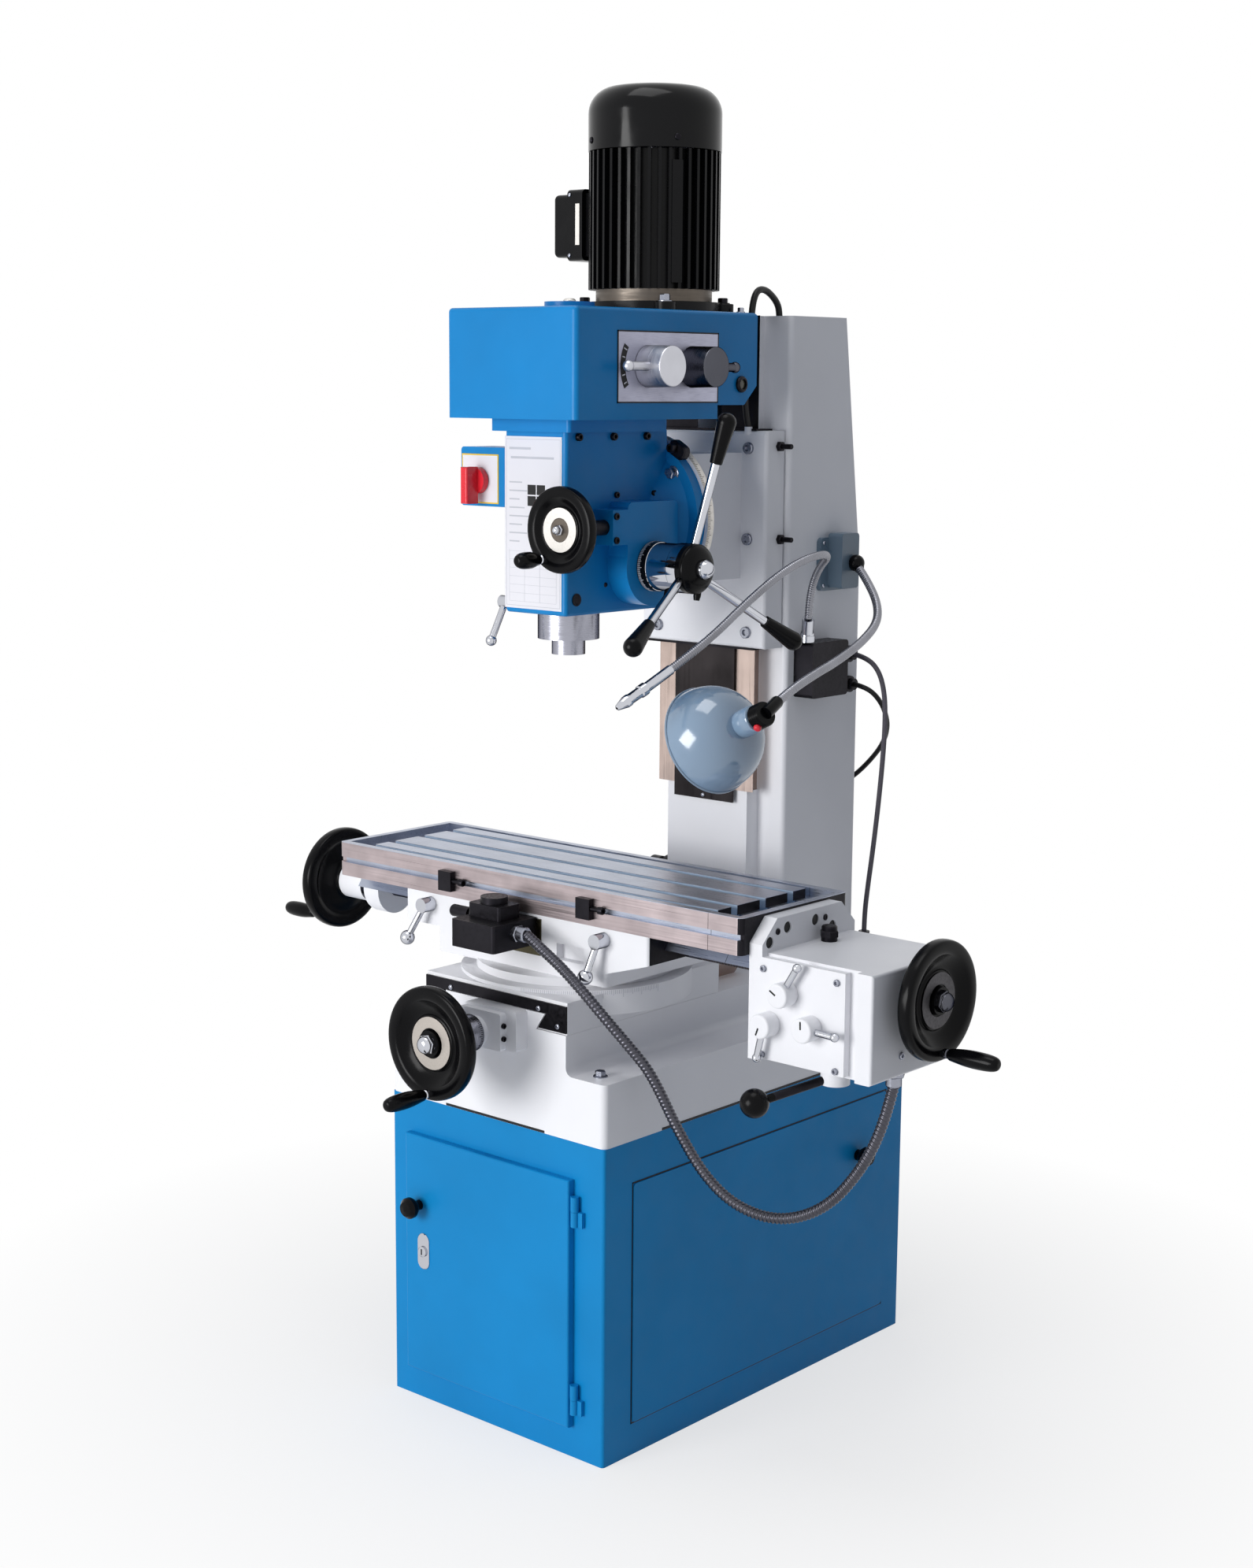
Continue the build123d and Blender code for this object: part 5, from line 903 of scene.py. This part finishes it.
piece("cross_handwheel", "cross_drive", phenolic, seat(wheel, cross_at, front),
      seat(grip(80), (0, -500, 542), front), instead_of="y_handwheel")
piece("table_handwheels", "table_drive", phenolic,
      seat(wheel, right_at, side), seat(wheel, left_at, far_side),
      seat(grip(84), (654, -181.7, 661.3), side), seat(grip(73), (-529, -235.2, 678.7), far_side),
      instead_of="x_handwheels")
ferrule = peg(6.5, 5, 5.5, 6.4, 20)
hub_ring = ring_plate(22, 38, 1.2)
nut = merge(slab(hexagon(15), 6, 1), lathe(soften([(0, 6), (13, 6), (12.6, 10), (8, 15), (0, 16)]), 24))
for name, body, place, axis, foot, ring, plating in (
    ("cross", "cross_drive", cross_at, front, (0, -499, 542), worn_ring, chrome),
    # The table wheels' rings and nuts take the darker copies: painted shade, as the right wheel faces away from the
    # light.
    ("right", "table_drive", right_at, side, (653, -181.7, 661.3), ring_painted_shade, knob_and_nut_painted_shade),
    ("left", "table_drive", left_at, far_side, (-528, -235.2, 678.7), ring_painted_shade, knob_and_nut_painted_shade),
):
    outward = np.array(axis, float)
    fit(name + "_wheel_ring", body, ring, hub_ring, np.array(place) + ring_face * outward, axis)
    piece(name + "_wheel_nut", body, plating, seat(nut, np.array(place) + nut_face * outward, axis, 14),
          seat(ferrule, foot, axis))


def fine_at(y):
    """A place on the fine feed wheel's shaft."""
    return (80, y, 1330)


fine_profile = soften([
    (0, 0), (18, 0), (18, 4), (45, 6), (51, 2), (58, 2), (61, 5), (61, 15), (59, 18), (47, 18), (44, 15.5),
    (38, 10.5), (33, 9.5), (32, 14), (0, 14)])
piece("fine_feed_wheel", "fine_feed", phenolic, seat(lathe(fine_profile, 72), fine_at(-300), front),
      seat(grip(52), (50, -318, 1288), front), instead_of="fine_wheel")
fit("fine_feed_ring", "fine_feed", satin_ring, ring_plate(17, 31, 1.0), fine_at(-313.9), front)
fit("fine_feed_disc", "fine_feed", neck_iron, disc(16.5, 0.6, 32), fine_at(-314), front)
piece("fine_feed_nut", "fine_feed", chrome, seat(slab(hexagon(8), 5, 1), fine_at(-314), front, 10),
      seat(peg(6, 5, 3, 8, 20, 2), fine_at(-319), front),
      seat(ferrule, (50, -317, 1288), front))
fit("fine_feed_collar", "fine_feed", black_oxide, lathe(
    [(0, 0), (11, 0), (11, 68), (12.5, 70), (12.5, 77.4), (0, 77.4)], 28), fine_at(-222.5), front)

# %% [markdown]
# ## Cabinet and base
# Thin dark bars stand in for the seams round the side panel; under the casting, thin dark bars are painted shade in
# the gap.
# The door carries a plated oval lock, and zinc bolts hold the casting's ledge down.

# %% Cabinet and base
lock_barrel = lathe([(0, 2), (8, 2), (8, 4.6), (7, 5.4), (0, 5.4)], 28)
lock_plate = merge(slab(rounded(24, 56, 11.9, 10), 2.2, 0.8), lock_barrel)
lock_at = (-137, -377.3, 241)
fit("door_lock_plate", "door", chrome, lock_plate, lock_at, front)
# The key slot is a black bar on the lock: painted shade for the hole.
fit("door_key_slot", "door", black_print, bars([(-1, -4.5, 1, 4.5)], 5.8), lock_at, front)
fit("side_panel_seam", "stand", black_print, bars(
    [(-305.2, 47.8, -303.2, 412.2), (315.2, 47.8, 317.2, 412.2), (-305.2, 47.8, 317.2, 49.8),
     (-305.2, 410.2, 317.2, 412.2)], 0.5), (215, 0, 0), side)
# Thin dark bars under the casting's foot are painted shade in the gap there.
piece("casting_foot_gap", "stand", black_print,
      seat(bars([(-100, 474.2, 100, 478)], 0.3), (0, -365, 0), front),
      seat(bars([(-241, 474.2, 330, 478)], 0.3), (215, 0, 0), side))
fit("ledge_bolts", "stand", zinc,
    hex_bolt(8, 7), [(178, -333, 567), (-178, -333, 567), (178, 300, 567), (-178, 300, 567)], up, 20)
fit("bracket_screw", "stand", zinc, socket_screw(5, 4), (-27, -400, 634), front)
fit("bracket_side_screws", "stand", black_oxide,
    socket_screw(4, 3.5), [(46, -394, 628), (46, -394, 609)], side)
fit("wiper_screws", "cross_slide", zinc,
    dome_screw(4, 2.5), [(-89, -365, 656), (88, -365, 656), (125, -365, 636)], front)

# %% [markdown]
# ## Slides, scales and the trip switch
# A scale is a row of small bars rolled round a radius, every fifth and tenth one longer.

# %% Slides and scales
fit("cross_dial_marks", "cross_drive", black_print,
    dial_marks(27.05, 1, 0, 354, 6, (-5, -7, -9)), (0, -412.6, 614), front)
fit("table_dial_marks", "table_drive", black_print,
    dial_marks(30.05, 1, 0, 354, 6, (-5, -7, -9)), (612.6, *table_axis), side)
fit("feed_dial_marks", "feed_hub", white_print,
    dial_marks(36.05, 1, 0, 357, 3, (-5, -6.5, -8), 0.7), (97.6, *hub_axis), side)
fit("seat_scale_marks", "cross_slide", rule_print,
    dial_marks(173.05, 676.4, -75, -5, 1, (6, 8, 11), 0.6), (0, -188, 0))
fit("seat_pointer", "saddle", zinc,
    merge(slab([(-7, -2), (7, -2), (7, 8), (2, 8), (0, 8), (-2, 8), (-7, 8)], 1.6),
          seat(dome_screw(3, 2), (0, 3, 1.6))), (107.5, -295.5, 690), (0.7071, -0.7071, 0))
scale_at = (0, -31.2, 1335)
fit("head_scale_ring", "carriage", satin_ring, ring_plate(125.02, 125.4, 13, around=120), scale_at, front)
fit("head_scale_marks", "carriage", black_print,
    dial_marks(125.4, 13, 0, 359, 1, (5, 7, 9), 0.7), scale_at, front)
fit("trip_switch_plate", "saddle", olive_plate, bars([(-44, 714, 38, 768)], 2.6), (0, -306, 0), front)
fit("trip_switch_screws", "saddle", zinc, dome_screw(3, 2), [(33, -308.6, 722), (-38, -308.6, 722)], front)
piece("stop_dog_screws", "table", black_oxide, *[
    seat(merge(disc(3.2, 16, 16), seat(socket_screw(5.5, 8), (0, 0, 15))),
         (dog + 12.8, -313, 800), side) for dog in (-150, 128)])

# %% [markdown]
# ## Feed gearbox
# The cover's screws, the oil filler, the marks on the knobs and the glands that hold the conduit's ends.

# %% Feed gearbox
fit("feed_cover_screws", "table", zinc,
    socket_screw(4.5, 4), [(433, -290, 759), (555, -290, 760), (555, -290, 640), (433, -290, 640)], front)
# Black discs in the flange's four holes are painted shade inside them.
fit("feed_flange_holes", "table", black_print,
    disc(7.9, 1), [(427, -274, 791), (427, -235, 806), (427, -172, 806), (427, -133, 791)], side)
fit("feed_flange_screws", "table", black_oxide,
    socket_screw(4.5, 1.5), [(430, -257, 803.5), (430, -150, 806)], side)
fit("feed_end_screw", "table", zinc, socket_screw(5, 3), (612, -222.6, 658.4), side)
piece("feed_oil_filler", "table", black_oxide, seat(disc(11.4, 6, 24), (448, -164, 778)),
      seat(slab(hexagon(13.5), 9, 1.5), (448, -164, 784), up, 12),
      seat(peg(11, 5, 9.5, 6.5), (448, -164, 793)))
for which, angle in (("top", 150), ("left", -110), ("right", 92)):
    knob_x, knob_z = knob_places[which]
    fit("feed_knob_mark_" + which, "feed_" + which, black_print,
        bars([(2, -1.2, 13, 1.2)], 0.3), (knob_x, -315.4, knob_z), front, angle)
piece("conduit_gland_start", "saddle", zinc, seat(slab(hexagon(13), 8, 1.5), (30, -351, 754), side),
      seat(peg(11.2, 12, 9.5, 14), (38, -351, 754), side))
piece("conduit_gland_end", "table", zinc, seat(slab(hexagon(16), 10, 1.5), (586, -200, 630), down),
      seat(peg(11, 12, 9.5, 14), (586, -200, 620), down))

# %% [markdown]
# ## Carriage and head
# Cap screws on the carriage, gib screws with lock nuts on its side, and small fittings round the feed hub.

# %% Carriage and head
fit("carriage_screws", "carriage", zinc,
    socket_screw(9, 5), [(x, 96, z) for x in (-88, 88) for z in (1437, 1300, 1158)], front)
gib = merge(peg(4, 24, 3, 25, 16), slab(hexagon(8), 7, 1.2))
fit("gib_screws", "carriage", black_oxide, gib, [(122, 126, 1440), (122, 130, 1300)], side)
fit("way_cover_screw", "carriage", zinc, dome_screw(3.5, 2.5), (0, 104, 895), front)
fit("head_flange_nut", "head", zinc, hex_bolt(9, 9), (72, -63, 1402), front, 10)
piece("head_clamp", "head", black_oxide, seat(slab(rounded(34, 22, 9), 12, 2), (88, -63, 1437), front, -30),
      seat(socket_screw(7, 10), (84, -75, 1440), front))
fit("neck_screws", "head", black_oxide,
    socket_screw(5.5, 6), [(60, y, 1457) for y in (-256, -182, -110)], side)
washer = lathe([(0, 0), (9, 0), (9, 1.4), (7, 1.4), (6, 0.4), (0, 0.4)], 28)
piece("housing_screws", "head", black_oxide,
      *copies(socket_screw(4.5, 4), [(60, -174, 1374), (60, -92, 1374)], side),
      *copies(socket_screw(5, 3), [(97, -215, 1346), (97, -215, 1312)], side),
      seat(dome_screw(3.5, 2), (60, -196, 1246), side), seat(washer, (60, -258, 1228), side))
fit("hub_cap", "feed_hub", phenolic, lathe(soften(
    [(0, 0), (35.9, 0), (35.5, 4), (28, 11), (15, 14), (0, 14)]), 48), (178, *hub_axis), side)
fit("hub_stub", "feed_hub", chrome, lathe(soften(
    [(0, 0), (14.3, 0), (14.3, 11), (13, 14), (9.3, 19.6), (0, 19.8)]), 36), (186, *hub_axis), side)
for name, foot, tip, radius in (
    ("hub_pin_inner", (131, -140, 1244), (131, -147, 1219), 4.5),
    ("hub_pin_outer", (164, -111, 1249), (164, -116, 1225), 5.5),
):
    along = np.subtract(tip, foot)
    length = np.linalg.norm(along)
    pin = lathe(soften([(0, 0), (radius, 0), (radius, length), (0, length)], 1), 20)
    fit(name, "feed_hub", phenolic, pin, foot, along)

# %% [markdown]
# ## Plates
# Printed plates are thin sheets on the castings. They carry plain rules, cells and ticks, and no words.

# %% Plates
plate_face, switch_face = (0, -280, 0), (0, -278, 0)
fit("data_plate", "head", white_print, bars([(-59, 1212, 52, 1457)], 0.6), plate_face, front)
rows = [(x - 0.3, 1216, x + 0.3, 1453) for x in (-56, 49)]
rows += [(-56, z - 0.3, 49, z + 0.3) for z in (1216, 1453)]
rows += [(-50 + 3 * (k % 2), z - 1.6, -8 + 9 * ((5 * k) % 7), z + 1.6) for k, z in enumerate((1440, 1427))]
rows += [(-50, z - 1, -30 + 5 * ((3 * k) % 5), z + 1) for k, z in enumerate(range(1308, 1404, 12))]
rows += [(x - 0.2, 1222, x + 0.2, 1296) for x in (-50, -20, 10, 42)]
rows += [(-50, z - 0.2, 42, z + 0.2) for z in range(1222, 1300, 12)]
fit("data_plate_rules", "head", rule_print, bars(rows, 0.75), plate_face, front)
cells = [(x, z, x + 16, z + 14) for z in (1375, 1359) for x in (-14, 4)]
fit("data_plate_cells", "head", black_print, bars(cells, 0.8), plate_face, front)
fit("switch_plate", "head", yellow_print, bars([(-148, 1359, -74, 1430)], 0.6), switch_face, front)
fit("switch_plate_centre", "head", white_print, bars([(-146, 1361, -76, 1428)], 0.8), switch_face, front)
fit("speed_plate", "head", plate_grey, bars([(-246, 1506, -27, 1604)], 0.8), (125, 0, 0), side)
fit("speed_plate_border", "head", black_print, bars(
    [(-247, 1505, -245, 1605), (-28, 1505, -26, 1605), (-247, 1505, -26, 1507), (-247, 1603, -26, 1605)],
    1.0), (125, 0, 0), side)
speed_axis, sight_at = (-181, 1556), (125, 27, 1532)
fit("speed_scale", "head", black_print, ring_plate(50, 60, 0.4, 149, 211, 40), (125.8, *speed_axis), side)
tick = bars([(52, -0.8, 58, 0.8)], 0.6)
piece("speed_scale_ticks", "head", white_print, *[
    seat(tick, (125.9, *speed_axis), side, angle) for angle in (155, 167, 193, 205)])
fit("sight_glass_ring", "head", black_oxide, lathe(
    soften([(7, 0), (12, 0), (12, 4), (9, 6), (7, 5), (7, 0)], 1), 32), sight_at, side)
fit("sight_glass", "head", oil_glass, lathe([(0, 0), (7.4, 0), (7.4, 2.6), (0, 3.4)], 28), sight_at, side)
fit("boss_button", "head", satin_ring, peg(9, 3, 6, 5, 28, 2), (0, -209, 1646))

# %% [markdown]
# ## Motor
# The fan's cover is one dome with a wide rounded edge; the flange has four ears with their bolts.

# %% Motor
bend = np.linspace(0, pi / 2, 14)
outer, inner = (np.array([60, 1919.8]) + r * np.c_[np.cos(bend), np.sin(bend)] for r in (38, 35.5))
dome = np.concatenate([
    [(98, 1866)], outer, [(0, 1957.8), (0, 1955.3)], inner[::-1], [(95.5, 1866), (98, 1866)]])
motor_at, bright_ear = (0, -25, 0), (78, -91)
fit("fan_dome", "head", dome_enamel, lathe(dome, 96), motor_at, crease=50, instead_of="fan_cover")
ways_out = [np.array([cos(radians(a)), sin(radians(a)), 0]) for a in (-30, 60, 150, 240)]
piece("fan_dome_screws", "head", black_oxide, *[
    seat(dome_screw(5, 2.5), out * 98 + [0, -25, 1880], out) for out in ways_out])
fit("motor_pad", "head", motor_enamel,
    bars([(-8, 1676, 8, 1848)], 9), ways_out[0] * 90 + motor_at, ways_out[0])
ears = [(sx * 78, -25 + sy * 66, 1636) for sx in (-1, 1) for sy in (-1, 1)]
ear = lathe([(0, 0.1), (16, 0.1), (16, 12), (15, 13), (0, 13)], 32)
fit("motor_ears", "head", motor_enamel, ear, ears)
fit("motor_bolts", "head", black_oxide,
    hex_bolt(8, 7), [(x, y, 1649) for x, y, _ in ears if (x, y) != bright_ear])
piece("motor_bright_bolts", "head", zinc, seat(hex_bolt(8, 9), (*bright_ear, 1649)),
      seat(hex_bolt(5, 6), (108, 46, 1636)))
fit("terminal_plate", "head", satin_ring, bars([(-112, 1735, -104, 1795)], 0.6), (0, -75, 0), front)
fit("terminal_screws", "head", zinc, dome_screw(3, 2), [(-124, -75, 1808), (-124, -75, 1720)], front)

# %% [markdown]
# ## Lamp
# The shade is a bell whose profile is a quarter of an ellipse, from the neck to the rolled rim:
# radius 17 + 58 sin a and height 118 - 72 cos a. A white skin lines it and a frosted bulb sits inside.

# %% Lamp
lamp_at, lamp_axis = np.array([385.4, -237.9, 1093.4]), (-0.9043, 0.1299, -0.4067)


def bell(sunk):
    """The bell's profile, drawn in by sunk millimetres."""
    a = np.linspace(0, pi / 2, 30)
    return np.c_[17 + (58 - sunk) * np.sin(a), 118 - (72 - sunk) * np.cos(a)]


lip = [(75.6, 117.6), (77, 118.4), (77, 120.2), (75.8, 121), (74.6, 120), (74, 118.6)]
shade = np.concatenate([bell(0), lip, bell(1.2)[::-1], bell(0)[:1]])
fit("lamp_bell", "stand", lamp_enamel, lathe(shade, 96), lamp_at, lamp_axis, crease=60,
    instead_of="lamp_shade")
lining = np.concatenate([bell(1.3), bell(2.2)[::-1], bell(1.3)[:1]])
fit("lamp_lining", "stand", reflector, lathe(lining, 72), lamp_at, lamp_axis, crease=60)
fit("lamp_socket", "stand", lamp_enamel, lathe(soften(
    [(0, 16), (18, 16), (19.5, 20), (20, 38), (19, 46), (17.5, 52), (0, 52)]), 48), lamp_at, lamp_axis)
ribs = [(16.4 + 1.1 * (k % 2), -4 + 2 * k) for k in range(11)]
fit("lamp_collar", "stand", phenolic, lathe([(0, -4), *ribs, (0, 16)], 40), lamp_at, lamp_axis)
button_axis = (0.254, -0.602, -0.757)
button_at = lamp_at + 8 * np.array(lamp_axis) + 16 * np.array(button_axis)
fit("lamp_button", "stand", red_switch, peg(5.5, 5, 3.5, 7, 24, 2), button_at, button_axis)
fit("lamp_bulb", "stand", frosted, lathe(soften(
    [(0, 53), (13, 53), (14, 62), (24, 78), (29, 92), (24, 106), (10, 111), (0, 111)]), 40),
    lamp_at, lamp_axis)
neck = np.subtract((389, -238.4, 1095), gooseneck_route[-1])
fit("lamp_ferrule", "stand", phenolic, lathe(
    [(0, -14), (8, -14), (9, -11), (9, 18), (0, 18)], 28), gooseneck_route[-1], neck)
fit("lamp_box_screws", "stand", zinc,
    dome_screw(3, 1.8), [(138, y, z) for y in (223, 304) for z in (1225, 1291)], side)

# %% [markdown]
# ## Coolant nozzle
# The hose ends in a short plated spout and a turned nozzle with a hole in its tip.

# %% Coolant nozzle
piece("coolant_spout", "stand", chrome, wound_tube(spout_line, spout_stops, 7.2, (1, 0, 0.15), 20))
fit("coolant_nozzle", "stand", chrome, lathe(
    [(0, 0), (9, 0), (9, 10), (7.5, 12), (7.5, 30), (8.5, 32), (8.5, 38), (4, 54), (2.6, 55.4),
     (2.2, 55.4), (2.2, 40), (0, 40)], 28), hose_route[-1], (-7, -50, -23))

# %% [markdown]
# ## Floor and light
# A wide soft light stands at the front left, so the front is bright and the right-hand faces are in shade.
# The room is white to the eye and a little blue where it lights the machine.
# The floor keeps the machine's shadow near the middle and fades to plain white further out.

# %% Floor and light
def seen_rays(tree):
    """1 for rays that see the background itself: from the camera, off a gloss or through glass."""
    path = add(tree, "LightPath").outputs
    return either(tree, path["Is Camera Ray"], path["Is Glossy Ray"], path["Is Transmission Ray"])


floor_finish, tree, shader, where = new_finish("pale_floor", Roughness=0.7, IOR=1.3)
shader.inputs["Base Color"].default_value = linear("#f6f6f6")
split = add(tree, "SeparateXYZ", {0: where})
away = reach(tree, split.outputs[0], split.outputs[1], (0, 0))
shadow_reach, plain_from, near_white = 0.4, 1.3, 0.68
fade = add(tree, "MapRange", {0: away, 1: shadow_reach, 2: plain_from, 3: near_white, 4: 1.0}).outputs[0]
white = add(tree, "Emission", {"Color": (1, 1, 1, 1), "Strength": 1.0})
share = both(tree, seen_rays(tree), fade)
mixed = add(tree, "MixShader", {0: share, 1: shader.outputs[0], 2: white.outputs[0]})
tree.links.new(mixed.outputs[0], tree.nodes["Material Output"].inputs[0])
floor_size, floor_corner, floor_thickness = 9000, 3000, 20
slab_shape = slab(rounded(floor_size, floor_size, floor_corner, 24), floor_thickness, 2)
floor = fit("floor", None, floor_finish, slab_shape, (0, 400, -20.5))
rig.stage(floor)
world = bpy.data.worlds.new("white_room")
scene.world = world
world.use_nodes = True
tree = world.node_tree
plain = add(tree, "Background", {"Color": (1, 1, 1, 1), "Strength": 1.0})
soft = add(tree, "Background", {"Color": (0.82, 0.88, 1, 1), "Strength": 0.25})
mixed = add(tree, "MixShader", {0: seen_rays(tree), 1: soft.outputs[0], 2: plain.outputs[0]})
tree.links.new(mixed.outputs[0], tree.nodes["World Output"].inputs[0])
for name, place, aim, size, power in (
    ("key_light", (-0.8, -4.6, 1.45), (0, 0, 0.95), 2.2, 148),
    ("top_light", (0.1, -0.8, 4.6), (0, 0, 0.8), 2.0, 42),
):
    light = bpy.data.objects.new(name, bpy.data.lights.new(name, "AREA"))
    light.data.size = size
    light.data.energy = power
    z = unit(np.array(place) - np.array(aim))
    x = unit(np.cross([0, 1, 0.01], z))
    stand_up(light, x, np.cross(z, x), z, place)

# %% Size against the CAD box, and finish
low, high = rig.bounds()
with open("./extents.json", "w") as file:
    json.dump({"cad": [list(cad_low), list(cad_high)], "visual": [list(low), list(high)]}, file)
print("pieces", len(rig.pieces()))
